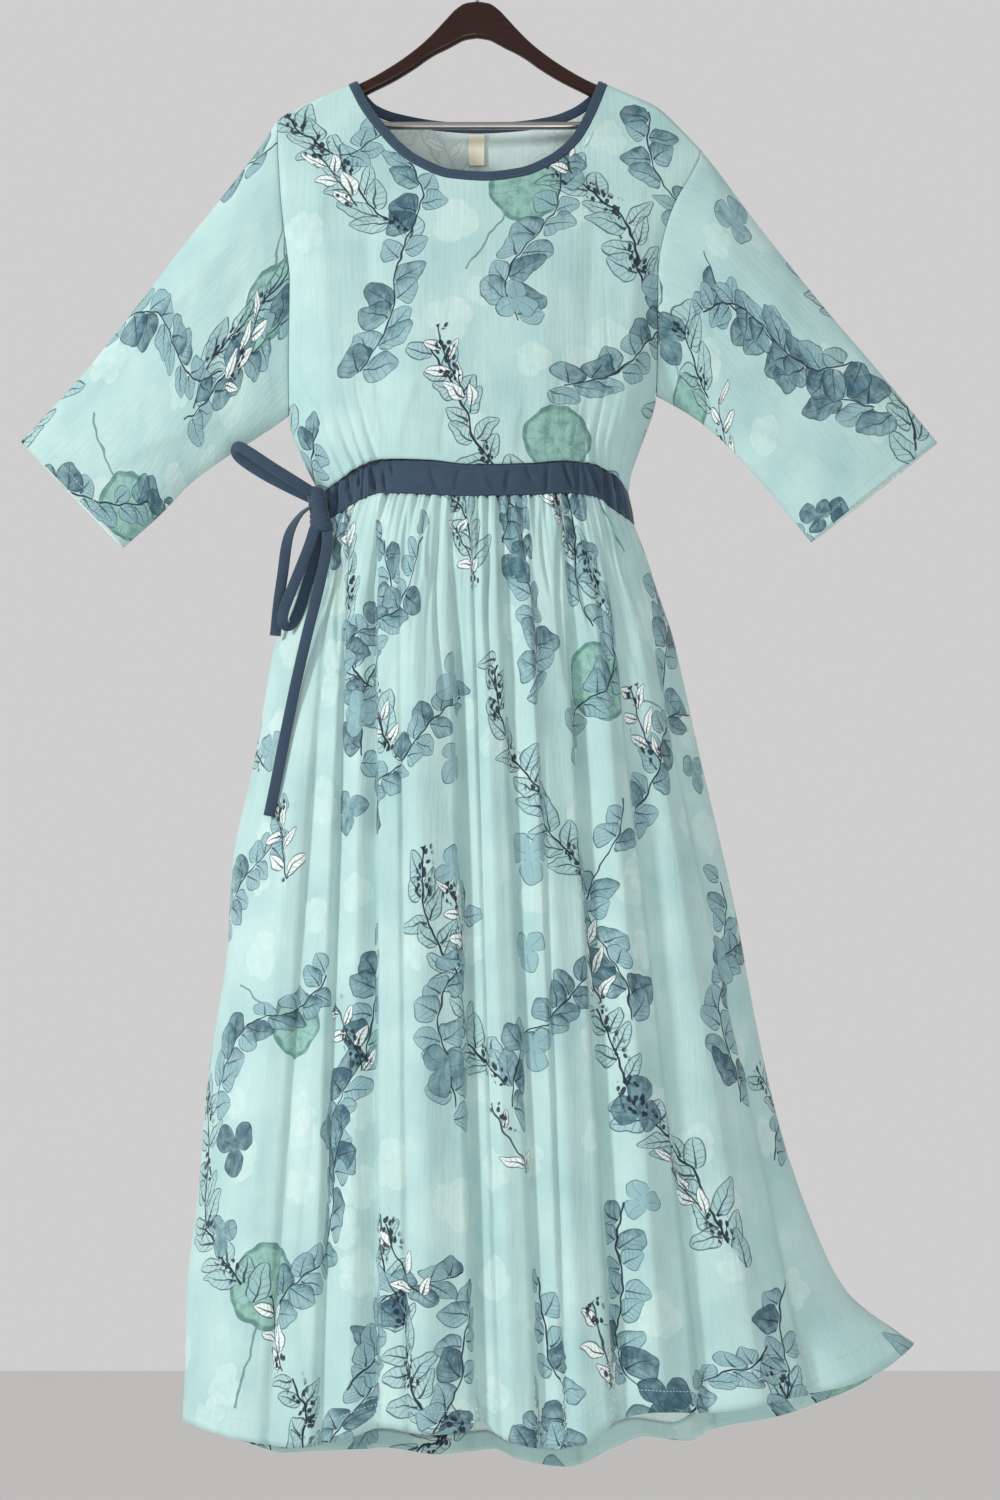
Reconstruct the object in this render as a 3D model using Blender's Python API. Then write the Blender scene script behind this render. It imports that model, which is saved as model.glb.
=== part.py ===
"""A midi dress on a wooden coat hanger, modelled as closed solids.

The dress has a bodice with dropped shoulders, wide elbow sleeves, a bound neck, a waist casing
with a side tie, and a long gathered skirt. The origin is the inside top of the hanger's hook,
+Z is up and the dress faces -Y. Sizes here are in millimetres and become metres in the meshes.
A drop is a distance straight down from the origin, and across is a place along X.
"""

import math
from collections import namedtuple

import bmesh
import bpy
import numpy as np

MM = 0.001

# Cloth
CLOTH = 2.0  # wall of every cloth piece
SEAM_GAP = 0.3  # between neighbouring pieces
FRONT, BACK = -1, 1  # the side of the hanger's plane that a panel hangs on

# How the cloth leaves the hanger's arms
ARM_FOLD = 9.5  # radius of the fold over an arm
DRAPE_SLOPE = 0.22  # parting of front and back for each millimetre below the fold

# Bodice
ARMHOLE_DEPTH = 26.0
LEFT_ARMHOLE_TOP, LEFT_UNDERARM = 186.0, 494.0
RIGHT_ARMHOLE_TOP, RIGHT_UNDERARM = 217.0, 474.0
ARMHOLE_ROWS = (0, 0.006, 0.016, 0.03, 0.12, 0.26, 0.42, 0.58, 0.74, 0.88, 0.965, 1)
SIDE_ROWS = (0.35, 0.7, 1)  # parts of the side seam, below the underarm
SHOULDER_COLUMNS = 6  # on each side of the neck; a panel has one column for each gather

BODICE_FOLDS_GROW = (0.08, 0.3)  # parts of the way down between which the folds appear
BODICE_FOLDS_FADE = (0.9, 1.0)  # and between which they are drawn flat again at the waist

# Gathers
FRONT_GATHERS, BACK_GATHERS = 32, 26
GATHER_RISE = 2.3
GATHER_UNEVENNESS = (0.28, 0.15)  # heights of the slow and the slower change from gather to gather
GATHERS_FADE = (0.02, 0.16)  # parts of the skirt's drop in which the gathers die away
BROAD_WAVE_RISE, BROAD_WAVE_START = 2.8, 0.7  # waves of two gathers each, and their phase
BROAD_WAVES_GROW, BROAD_WAVES_FADE = (0.02, 0.12), (0.2, 0.5)

# Waist casing
CASING_FLAT, CASING_DRAWN = 0.56, 0.68  # the front casing is flat inside the first, gathered past the second
CASING_EASE, CASING_BULGE = 1.5, 4.0

# Neck
BINDING_WIDTH = 10.0
NECK_TURN = (0, 2.5, 6.0, 11.0)  # distances from the shoulder line where the neck edge turns over an arm
ARM_DIRECTION = (0.909, 0.416)  # along the left arm towards the middle of the hanger
ARM_REACH = 15.0  # length of neck edge that turns along the arm
BINDING_PROUD = 0.5
LABEL_LEFT, LABEL_RIGHT, LABEL_TOP, LABEL_BOTTOM, LABEL_THICK = -9.0, 8.0, 192.0, 224.0, 1.0
LABEL_COLUMNS, LABEL_ROWS = 5, 4

# Skirt
SKIRT_ROWS = (0, 0.012, 0.035, 0.09, 0.18, 0.31, 0.46, 0.61, 0.75, 0.87, 0.95, 1)

# Tie
TIE_WIDTH, TIE_THICK = 11.0, 2.2
EDGE_ON_PART = 0.45  # part of the short tail over which it turns from its edge to its face
KNOT_SIDES, KNOT_LEAN = 12, 2.0

# Hanger
ARM_THICK = 12.0
ARM_ROUNDING = 5.0
BAR_RADIUS, BAR_DROP, BAR_HALF_LENGTH, BAR_HOLE_RADIUS = 4.0, 191.0, 181.0, 4.3
HOOK_WIRE, HOOK_BEND, HOOK_HOLE, HOOK_SEAT_DROP = 4.0, 22.0, 4.6, 74.0
HOOK_START, HOOK_END, HOOK_STEPS = -52.0, 205.0, 20  # angles of the round of the hook, in degrees

# Colours
PRINTED_COTTON = (0.39, 0.63, 0.61)
SLATE_COTTON = (0.042, 0.076, 0.117)
LABEL_RIBBON = (0.77, 0.73, 0.53)
STAINED_WOOD = (0.032, 0.011, 0.006)
STEEL = (0.6, 0.6, 0.62)

Place = namedtuple("Place", "across drop")
BodySide = namedtuple("BodySide", "drop left right")
BodyDepth = namedtuple("BodyDepth", "drop front back")
WaistSeam = namedtuple("WaistSeam", "share front_top front_bottom back_top back_bottom")
SkirtSide = namedtuple("SkirtSide", "part left right front back")
SleeveRing = namedtuple("SleeveRing", "top_across top_drop low_across low_drop depth")
Fold = namedtuple("Fold", "top hem top_width hem_width rise start")
StripPoint = namedtuple("StripPoint", "across out drop")
TieStrip = namedtuple("TieStrip", "rings turned points")
KnotRing = namedtuple("KnotRing", "level width")
ArmSection = namedtuple("ArmSection", "across top bottom")

# The line where front and back meet over the hanger
SHOULDER = (
    Place(-230, 214), Place(-204, 186), Place(-192, 177), Place(-184, 173), Place(-154, 158.5),
    Place(-132, 148.3), Place(-100, 133.5), Place(0, 88), Place(100, 132.5), Place(134, 148.3),
    Place(148, 154.5), Place(173, 165.5), Place(184, 171.5), Place(192, 178), Place(206, 192),
    Place(229, 217),
)
NECK_LEFT, NECK_RIGHT = -132.0, 134.0

# The lower edge of the neck binding
FRONT_NECK = (
    Place(-132, 148.3), Place(-118, 178), Place(-101, 203), Place(-84, 224), Place(-62, 242),
    Place(-27, 257), Place(9, 260), Place(46, 255), Place(78, 240), Place(103, 217),
    Place(120, 186), Place(134, 148.3),
)
BACK_NECK = (
    Place(-132, 148.3), Place(-122, 161), Place(-108, 174), Place(-86, 182), Place(-41, 188.5),
    Place(0, 190.5), Place(41, 189), Place(75, 185.5), Place(100, 178), Place(124, 162),
    Place(134, 148.3),
)

# The armhole seams, then the side seams
BODY_SIDES = (
    BodySide(150, -204, 229), BodySide(217, -203, 229), BodySide(245, -201, 219),
    BodySide(272, -199, 204), BodySide(300, -196, 193), BodySide(330, -192, 186),
    BodySide(360, -189, 183), BodySide(474, -190, 182), BodySide(494, -190, 178),
    BodySide(508, -188, 173), BodySide(535, -178, 163), BodySide(556, -168, 156),
    BodySide(577, -157, 153),
)
BODY_DEPTHS = (
    BodyDepth(150, 42, 40), BodyDepth(260, 43, 41), BodyDepth(350, 50, 48),
    BodyDepth(450, 59, 56), BodyDepth(525, 66, 62), BodyDepth(560, 62, 59), BodyDepth(580, 60, 57),
)
BODICE_FOLDS = {
    FRONT: (
        Fold(-168, -140, 16, 13, 3.0, 0.1), Fold(-120, -98, 17, 14, -3.0, 0.1),
        Fold(-70, -62, 22, 18, 2.5, 0.35), Fold(74, 66, 22, 18, 2.5, 0.35),
        Fold(128, 104, 17, 14, -3.0, 0.1), Fold(176, 143, 14, 12, 4.0, 0.1),
    ),
    BACK: (
        Fold(-150, -118, 20, 15, 3.5, 0.1), Fold(-80, -52, 24, 18, -3.0, 0.2),
        Fold(-10, -6, 26, 20, 3.0, 0.25), Fold(84, 50, 24, 18, -3.0, 0.2),
        Fold(158, 118, 20, 15, 3.5, 0.1),
    ),
}

# The casing's seams, by their place from the left side, -1, to the right side, 1
WAIST_SEAMS = (
    WaistSeam(-1.0, 577, 608, 577, 608), WaistSeam(-0.87, 567, 602, 571, 604),
    WaistSeam(-0.76, 557, 592, 566, 599), WaistSeam(-0.60, 550, 584, 561, 594),
    WaistSeam(-0.30, 552, 587, 557, 590), WaistSeam(0.0, 557, 589, 556, 589),
    WaistSeam(0.35, 555, 587, 557, 590), WaistSeam(0.60, 551, 584, 561, 594),
    WaistSeam(0.76, 552, 586, 565, 598), WaistSeam(0.85, 557, 596, 569, 602),
    WaistSeam(0.93, 563, 602, 572, 604), WaistSeam(1.0, 575, 607, 575, 607),
)
WAIST_LEFT, WAIST_RIGHT, WAIST_FRONT, WAIST_BACK = -157.0, 153.0, 58.0, 55.0
HIP_LEFT, HIP_RIGHT = -160.0, 159.0

# Sleeve rings after the armhole, from the fold on top to the seam underneath
SLEEVES = {
    "left": (
        SleeveRing(-222, 214, -206, 506, 26), SleeveRing(-250, 253, -230, 522, 25),
        SleeveRing(-299, 317, -262, 543, 23), SleeveRing(-345, 380, -289, 564, 21),
        SleeveRing(-400, 452, -318, 595, 19), SleeveRing(-461, 521, -356, 630, 17),
    ),
    "right": (
        SleeveRing(247, 240, 197, 482, 26), SleeveRing(276, 281, 217, 494, 25),
        SleeveRing(315, 333, 243, 515, 23), SleeveRing(358, 388, 271, 544, 21),
        SleeveRing(410, 451, 302, 580, 19), SleeveRing(466, 522, 337, 624, 17),
    ),
}

SKIRT_SIDES = (
    SkirtSide(0.00, -160, 159, 60, 57), SkirtSide(0.04, -174, 171, 64, 61),
    SkirtSide(0.08, -184, 181, 68, 65), SkirtSide(0.14, -203, 197, 75, 73),
    SkirtSide(0.20, -212, 208, 80, 79), SkirtSide(0.27, -222, 220, 85, 85),
    SkirtSide(0.39, -243, 242, 92, 93), SkirtSide(0.47, -246, 256, 97, 98),
    SkirtSide(0.63, -265, 279, 105, 107), SkirtSide(0.75, -273, 301, 111, 113),
    SkirtSide(0.88, -284, 338, 116, 118), SkirtSide(0.94, -284, 364, 118, 120),
    SkirtSide(1.00, -286, 428, 119, 121),
)
FRONT_HEM = (
    Place(-286, 1493), Place(-228, 1505), Place(-174, 1512), Place(-130, 1505), Place(-84, 1491),
    Place(-42, 1496), Place(-8, 1495), Place(4, 1485), Place(26, 1501), Place(70, 1510),
    Place(108, 1504), Place(133, 1485), Place(174, 1476), Place(219, 1478), Place(293, 1466),
    Place(347, 1457), Place(388, 1443), Place(428, 1419),
)
BACK_HEM = (
    Place(-286, 1493), Place(-240, 1516), Place(-187, 1532), Place(-96, 1529), Place(-40, 1537),
    Place(16, 1531), Place(43, 1543), Place(90, 1549), Place(141, 1529), Place(171, 1519),
    Place(214, 1523), Place(242, 1509), Place(302, 1497), Place(340, 1483), Place(386, 1461),
    Place(428, 1419),
)
SKIRT_FOLDS = {
    FRONT: (
        Fold(-150, -232, 12, 24, 6, 0.1), Fold(-128, -150, 8, 16, -7, 0.04),
        Fold(-112, -118, 7, 14, 4, 0.04), Fold(-100, -92, 7, 13, -8, 0.02),
        Fold(-62, -42, 26, 30, 14, 0.02), Fold(-24, 6, 8, 14, -13, 0.02),
        Fold(4, 34, 9, 16, 5, 0.05), Fold(20, 62, 8, 16, -6, 0.03),
        Fold(48, 96, 14, 22, 7, 0.08), Fold(84, 134, 9, 17, -10, 0.12),
        Fold(112, 176, 13, 20, 7, 0.08), Fold(122, 216, 8, 14, -6, 0.1),
        Fold(140, 268, 12, 22, 7, 0.1), Fold(149, 322, 8, 20, -7, 0.15),
    ),
    BACK: (
        Fold(-138, -222, 12, 22, -7, 0.08), Fold(-112, -168, 13, 24, 8, 0.06),
        Fold(-84, -112, 9, 18, -9, 0.05), Fold(-46, -52, 18, 28, 10, 0.04),
        Fold(-14, -4, 9, 16, -9, 0.05), Fold(22, 44, 16, 24, 9, 0.06),
        Fold(56, 108, 9, 18, -10, 0.08), Fold(88, 168, 14, 20, 8, 0.06),
        Fold(116, 216, 8, 15, 9, 0.3), Fold(124, 244, 8, 18, -8, 0.1),
        Fold(144, 318, 10, 24, 7, 0.1),
    ),
}

# The bow at the left side of the waist; out is measured forwards from the hanger's plane
TIE_STRIPS = {
    "tie_loop_upper": TieStrip(22, 0, (
        StripPoint(-165, 38, 580), StripPoint(-180, 42, 571), StripPoint(-204, 43, 556),
        StripPoint(-226, 41, 541), StripPoint(-238, 38, 534), StripPoint(-241, 34, 537),
        StripPoint(-236, 31, 545), StripPoint(-214, 31, 560), StripPoint(-190, 31, 573),
        StripPoint(-166, 30, 584.5),
    )),
    "tie_loop_lower": TieStrip(24, 0, (
        StripPoint(-161, 38.5, 617.5), StripPoint(-167, 41.5, 638), StripPoint(-179, 44, 670),
        StripPoint(-190, 43, 699), StripPoint(-192, 40, 712), StripPoint(-186, 36, 715.5),
        StripPoint(-178, 35, 704), StripPoint(-168, 36, 672), StripPoint(-160, 35, 642),
        StripPoint(-157, 33, 617.5),
    )),
    "tie_tail_short": TieStrip(16, 70, (
        StripPoint(-165, 33, 594), StripPoint(-175, 34, 602), StripPoint(-184, 34, 616),
        StripPoint(-189, 33, 632), StripPoint(-193, 31, 662), StripPoint(-197, 30, 692),
        StripPoint(-200, 29, 724),
    )),
    "tie_tail_long": TieStrip(22, 0, (
        StripPoint(-149, 36.3, 617.5), StripPoint(-148, 43.5, 632), StripPoint(-150, 49, 650),
        StripPoint(-157, 54, 686), StripPoint(-166, 56, 724), StripPoint(-177, 56, 774),
        StripPoint(-187, 55, 824), StripPoint(-196, 55, 872), StripPoint(-203, 54, 907),
    )),
}
KNOT_CENTRE = StripPoint(-154, 32.8, 597)
KNOT_HALF = StripPoint(10.5, 7.5, 20)
KNOT_RINGS = (
    KnotRing(-1.0, 0.62), KnotRing(-0.8, 0.86), KnotRing(-0.35, 1.0), KnotRing(0.1, 0.9),
    KnotRing(0.5, 1.0), KnotRing(0.85, 0.82), KnotRing(1.0, 0.58),
)

# The hook's stem and its short reverse bend
HOOK_STEM = (
    Place(0, HOOK_SEAT_DROP - SEAM_GAP), Place(0, 66), Place(0, 58), Place(0, 52), Place(1.4, 46.6),
    Place(5.2, 42.6), Place(10, 39.9),
)

# Half of the hanger's body, mirrored across its middle
ARM_SECTIONS = (
    ArmSection(0, 59.5, 98), ArmSection(12, 61.5, 100), ArmSection(22, 68, 105),
    ArmSection(30, 76.5, 109.5), ArmSection(41, 89, 115), ArmSection(52, 100.5, 122),
    ArmSection(62, 109.5, 129.5), ArmSection(84, 126, 143.5), ArmSection(110, 141.8, 157),
    ArmSection(132, 152.2, 168), ArmSection(154, 162.2, 182), ArmSection(172, 171, 195),
    ArmSection(182, 176, 200), ArmSection(188, 180, 201), ArmSection(192.5, 186, 196),
)


def look(name, colour, roughness, metallic=0.0):
    """A plain Principled material."""
    material = bpy.data.materials.new(name)
    material.use_nodes = True
    shader = material.node_tree.nodes["Principled BSDF"]
    shader.inputs["Base Color"].default_value = (*colour, 1.0)
    shader.inputs["Roughness"].default_value = roughness
    shader.inputs["Metallic"].default_value = metallic
    return material


def column(table, name):
    return np.array([getattr(row, name) for row in table], float)


def smooth(table, place, value, at):
    """Reads a smooth curve through a table's rows that doesn't overshoot between them."""
    x, y = column(table, place), column(table, value)
    at = np.clip(np.asarray(at, float), x[0], x[-1])
    step = np.diff(x)
    slope = np.diff(y) / step
    product = slope[1:] * slope[:-1]
    total = np.where(product > 0, slope[1:] + slope[:-1], 1.0)
    bend = np.concatenate([slope[:1], np.where(product > 0, 2 * product / total, 0.0), slope[-1:]])
    i = np.clip(np.searchsorted(x, at, side="right") - 1, 0, len(step) - 1)
    t = (at - x[i]) / step[i]
    rise = y[i] * (1 + 2 * t) * (1 - t) ** 2 + y[i + 1] * t**2 * (3 - 2 * t)
    return rise + step[i] * (bend[i] * t * (1 - t) ** 2 - bend[i + 1] * t**2 * (1 - t))


def ramp(low, high, at):
    """0 below low, 1 above high, and a soft change between them."""
    t = np.clip((np.asarray(at, float) - low) / (high - low), 0, 1)
    return t * t * (3 - 2 * t)


def mix(a, b, share):
    return a + (b - a) * share


def mesh_object(name, points, faces, material, parent):
    """A closed mesh in metres from points in millimetres, with its faces turned out."""
    mesh = bpy.data.meshes.new(name)
    mesh.from_pydata([tuple(p) for p in np.asarray(points) * MM], [], faces)
    build = bmesh.new()
    build.from_mesh(mesh)
    bmesh.ops.recalc_face_normals(build, faces=build.faces)
    if build.calc_volume(signed=True) < 0:
        bmesh.ops.reverse_faces(build, faces=build.faces)
    build.to_mesh(mesh)
    build.free()
    mesh.shade_smooth()
    mesh.set_sharp_from_angle(angle=math.radians(50))
    mesh.materials.append(material)
    piece = bpy.data.objects.new(name, mesh)
    piece.parent = parent
    bpy.context.scene.collection.objects.link(piece)
    return piece


def strip_faces(upper, lower):
    """Triangles between two rows of point numbers; one row may have twice the other's spaces."""
    a, b = len(upper) - 1, len(lower) - 1
    if a == b:
        first = [(upper[i], lower[i], lower[i + 1]) for i in range(a)]
        second = [(upper[i], lower[i + 1], upper[i + 1]) for i in range(a)]
        return first + second
    coarse, fine = (upper, lower) if a < b else (lower, upper)
    faces = []
    for i in range(len(coarse) - 1):
        left, middle, right = fine[2 * i : 2 * i + 3]
        faces += [(coarse[i], left, middle), (coarse[i], middle, coarse[i + 1])]
        faces += [(coarse[i + 1], middle, right)]
    return faces


def wall(name, outer, inner, material, parent, tube=False):
    """Cloth as one closed solid, from rows of outer points and the matching rows of inner ones.

    The rows run from the top edge to the bottom edge. A tube's rows close on themselves.
    """
    points, numbers = [], []
    for rows in (outer, inner):
        numbers.append([])
        for row in rows:
            first = len(points)
            points += [tuple(p) for p in row]
            ring = list(range(first, first + len(row)))
            numbers[-1].append(ring + ring[:1] if tube else ring)
    outside, inside = numbers
    faces = []
    for rows in (outside, inside):
        for upper, lower in zip(rows, rows[1:]):
            faces += strip_faces(upper, lower)
    faces += strip_faces(outside[0], inside[0]) + strip_faces(outside[-1], inside[-1])
    if not tube:
        for end in (0, -1):
            faces += strip_faces([row[end] for row in outside], [row[end] for row in inside])
    return mesh_object(name, points, faces, material, parent)


def loft(name, rings, material, parent):
    """A solid through closed rings of points, with a flat cap on each end."""
    count = len(rings[0])
    points = [p for ring in rings for p in ring]
    faces = [tuple(range(count)), tuple(range(len(points) - count, len(points)))]
    for start in range(0, len(points) - count, count):
        ring = [start + i for i in (*range(count), 0)]
        faces += strip_faces(ring, [number + count for number in ring])
    return mesh_object(name, points, faces, material, parent)


def shoulder_drop(across):
    return smooth(SHOULDER, "across", "drop", across)


def body_edges(drop):
    """The left and right edges of the bodice at a drop."""
    return smooth(BODY_SIDES, "drop", "left", drop), smooth(BODY_SIDES, "drop", "right", drop)


def armhole_depth(drop, top, underarm):
    """How far the armhole seam stands from the hanger's plane: it closes at the underarm."""
    part = np.clip((drop - top) / (underarm - top), 0.5, 1)
    return ARMHOLE_DEPTH * 2 * np.sqrt(part * (1 - part))


def body_section(across, drop, side):
    """The bodice's depth at a place, and how it lies there.

    Gives the depth, the share that wraps round the side, the place from -1 to 1, the drop below
    the shoulder, and the outward direction as its parts along X and away from the hanger.
    """
    below = np.maximum(drop - shoulder_drop(across), 0)
    round_part = np.sqrt(np.maximum(below * (2 * ARM_FOLD - below), 0))
    arch = np.where(below < ARM_FOLD, round_part, ARM_FOLD + DRAPE_SLOPE * (below - ARM_FOLD))
    left, right = body_edges(drop)
    place = np.clip((2 * across - left - right) / (right - left), -1, 1)
    at_left = armhole_depth(drop, LEFT_ARMHOLE_TOP, LEFT_UNDERARM)
    at_right = armhole_depth(drop, RIGHT_ARMHOLE_TOP, RIGHT_UNDERARM)
    edge = mix(at_left, at_right, (1 + place) / 2)
    edge = np.where(np.abs(place) > 0.999, np.where(place < 0, at_left, at_right), edge)
    deepest = smooth(BODY_DEPTHS, "drop", "front" if side == FRONT else "back", drop)
    lens = np.sqrt(edge**2 + np.maximum(deepest**2 - edge**2, 0) * (1 - place**2))
    arch, lens = np.maximum(arch, 1e-3), np.maximum(lens, 1e-3)
    wraps = 1 - np.minimum(edge / ARM_FOLD, 1)
    lean = place * deepest * wraps
    face = 0.5 * (right - left) * np.sqrt(1 - place**2) + deepest * (1 - wraps)
    lean, face = lean / np.hypot(lean, face), face / np.hypot(lean, face)
    return (arch**-4 + lens**-4) ** -0.25, wraps, place, below, (lean, face)


def body_point(across, drop, inset, side, rise=0.0):
    """A point of the bodice, inset into its wall and raised by a fold, as (x, y, z)."""
    depth, wraps, place, below, (lean, face) = body_section(across, drop, side)
    x = across - inset * np.sign(place) * np.abs(place) ** 3 * wraps
    y = depth - inset * np.minimum(depth / ARM_FOLD, 1)
    z = drop + inset * np.maximum(1 - below / ARM_FOLD, 0)
    y = np.maximum(y + rise * face, SEAM_GAP / 2)
    return np.stack([x + rise * lean, side * y, -z], axis=-1)


def fold_rise(folds, across, part):
    """The height of a panel's long soft folds at a place across it and a part of the way down."""
    rise = np.zeros_like(across)
    for fold in folds:
        centre = mix(fold.top, fold.hem, part)
        width = mix(fold.top_width, fold.hem_width, part)
        grown = ramp(fold.start - 0.02, fold.start + 0.25, part)
        rise += fold.rise * grown * np.exp(-(((across - centre) / width) ** 2))
    return rise


def gather_wave(count):
    """Peaks and valleys of the gathers, one after the other, a little uneven in height."""
    i = np.arange(2 * count + 1)
    slow, slower = GATHER_UNEVENNESS
    uneven = 1 + slow * np.sin(1.9 * i + 0.6) + slower * np.sin(0.83 * i)
    wave = np.where(i % 2 == 1, 1.0, -1.0) * uneven
    wave[[0, -1]] = 0
    return GATHER_RISE * wave


def waist_shares(count):
    """Places from -1 to 1 across the waist, evenly spaced around its curve."""
    angle = np.linspace(-math.pi / 2, math.pi / 2, 721)
    half, deep = (WAIST_RIGHT - WAIST_LEFT) / 2, WAIST_FRONT
    steps = np.hypot(np.diff(half * np.sin(angle)), np.diff(deep * np.cos(angle)))
    along = np.concatenate([[0], np.cumsum(steps)])
    even = np.interp(np.linspace(0, along[-1], 2 * count + 1), along, angle)
    return np.sin(even)


def free_of_seams(shares):
    """1 over a panel, and 0 at its side seams."""
    return 1 - np.abs(shares) ** 8


def onto_seam(points, seam, left, right, shift):
    """Puts a row of points on a waist seam, wherever its folds and inset have moved it."""
    share = (2 * points[:, 0] - left - right) / (right - left)
    points[:, 2] = -smooth(WAIST_SEAMS, "share", seam, share) - shift
    return points


def gathers_of(side):
    return FRONT_GATHERS if side == FRONT else BACK_GATHERS


def neck_columns(side):
    return gathers_of(side) - 2 * SHOULDER_COLUMNS


def side_word(side):
    return "front" if side == FRONT else "back"


def casing_gathered(shares, side):
    """Where the casing is drawn up: only its side parts in front, and all of it behind."""
    if side == BACK:
        return np.ones_like(shares)
    return ramp(CASING_FLAT, CASING_DRAWN, np.abs(shares))


def neck_line(side, places):
    """Points along the binding's lower edge and the directions from them into the opening.

    The places are column numbers: close together over the arms of the hanger, then even.
    """
    table = FRONT_NECK if side == FRONT else BACK_NECK
    across = np.linspace(NECK_LEFT, NECK_RIGHT, 801)
    drop = smooth(table, "across", "drop", across)
    along = np.concatenate([[0], np.cumsum(np.hypot(np.diff(across), np.diff(drop)))])
    turn, length = np.array(NECK_TURN), along[-1]
    even = np.linspace(turn[-1], length - turn[-1], neck_columns(side) - 2 * len(turn) + 3)
    stations = np.concatenate([turn[:-1], even, length - turn[-2::-1]])
    at = np.interp(places, np.arange(len(stations)), stations)
    slope = np.interp(at, along, np.gradient(drop, across))
    into = np.stack([slope, np.ones_like(slope)], axis=1)
    left_arm = np.array(ARM_DIRECTION)
    for distance, arm in ((at, left_arm), (length - at, left_arm * (-1, 1))):
        share = np.clip(1 - distance / ARM_REACH, 0, 1)[:, None]
        into = mix(into / np.linalg.norm(into, axis=1, keepdims=True), arm, share)
    into /= np.linalg.norm(into, axis=1, keepdims=True)
    return np.interp(at, along, across), np.interp(at, along, drop), into


def bodice_top(side, places):
    """The bodice's top edge at column numbers: shoulder, neck, shoulder."""
    last = gathers_of(side)
    across, drop, into = neck_line(side, places - SHOULDER_COLUMNS)
    across = across - SEAM_GAP * into[:, 0]
    drop = drop + SEAM_GAP * into[:, 1]
    left_end = body_edges(LEFT_ARMHOLE_TOP)[0] + SEAM_GAP / 2
    right_end = body_edges(RIGHT_ARMHOLE_TOP)[1] - SEAM_GAP / 2
    on_left, on_right = places <= SHOULDER_COLUMNS, places >= last - SHOULDER_COLUMNS
    to_neck = places / SHOULDER_COLUMNS
    from_neck = (places - last + SHOULDER_COLUMNS) / SHOULDER_COLUMNS
    across = np.where(on_left, mix(left_end, across[0], to_neck), across)
    across = np.where(on_right, mix(across[-1], right_end, from_neck), across)
    return across, np.where(on_left | on_right, shoulder_drop(across), drop)


def waist_x(shares, left, right):
    return mix(left, right, (1 + shares) / 2)


def make_bodice(side, material, parent):
    """The front or back of the bodice, from shoulders and neck to the waist casing."""
    columns = gathers_of(side)
    coarse_rows = len(ARMHOLE_ROWS)
    seam = side_word(side) + "_top"
    left_drops = [mix(LEFT_ARMHOLE_TOP, LEFT_UNDERARM, part) for part in ARMHOLE_ROWS]
    right_drops = [mix(RIGHT_ARMHOLE_TOP, RIGHT_UNDERARM, part) for part in ARMHOLE_ROWS]
    left_waist = smooth(WAIST_SEAMS, "share", seam, -1) - SEAM_GAP / 2
    right_waist = smooth(WAIST_SEAMS, "share", seam, 1) - SEAM_GAP / 2
    left_drops += [mix(LEFT_UNDERARM, left_waist, part) for part in SIDE_ROWS]
    right_drops += [mix(RIGHT_UNDERARM, right_waist, part) for part in SIDE_ROWS]
    outer, inner = [], []
    for row, (left_drop, right_drop) in enumerate(zip(left_drops, right_drops)):
        fine = row >= coarse_rows
        places = np.linspace(0, columns, (2 * columns if fine else columns) + 1)
        left, right = body_edges(left_drop)[0], body_edges(right_drop)[1]
        top_x, top_drop = bodice_top(side, places)
        top_share = (top_x - top_x[0]) / (top_x[-1] - top_x[0])
        even = np.interp(2 * places, np.arange(2 * columns + 1), waist_shares(columns))
        low_drop = smooth(WAIST_SEAMS, "share", seam, even) - SEAM_GAP / 2
        part = mix(
            (left_drop - LEFT_ARMHOLE_TOP) / (left_waist - LEFT_ARMHOLE_TOP),
            (right_drop - RIGHT_ARMHOLE_TOP) / (right_waist - RIGHT_ARMHOLE_TOP),
            places / columns,
        )
        drop = mix(top_drop, low_drop, part)
        share = mix(top_share, (1 + even) / 2, part)
        across = mix(left + SEAM_GAP / 2, right - SEAM_GAP / 2, share)
        middle = 1 - np.abs(2 * share - 1) ** 6
        shown = ramp(*BODICE_FOLDS_GROW, part) * (1 - ramp(*BODICE_FOLDS_FADE, part)) * middle
        rise = fold_rise(BODICE_FOLDS[side], across, part) * shown
        if fine:
            drawn = casing_gathered(even, side) * ramp(0.2, 1.0, part * len(left_drops) - coarse_rows)
            near = ((left_drop - LEFT_UNDERARM) / (left_waist - LEFT_UNDERARM)) ** 1.2
            rise = rise + gather_wave(columns) * drawn * near * free_of_seams(even)
        outer.append(body_point(across, drop, 0, side, rise))
        inner.append(body_point(across, drop, CLOTH, side, rise))
    for rows in (outer, inner):
        onto_seam(rows[-1], seam, WAIST_LEFT, WAIST_RIGHT, -SEAM_GAP / 2)
    return wall(f"bodice_{side_word(side)}", outer, inner, material, parent)


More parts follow.
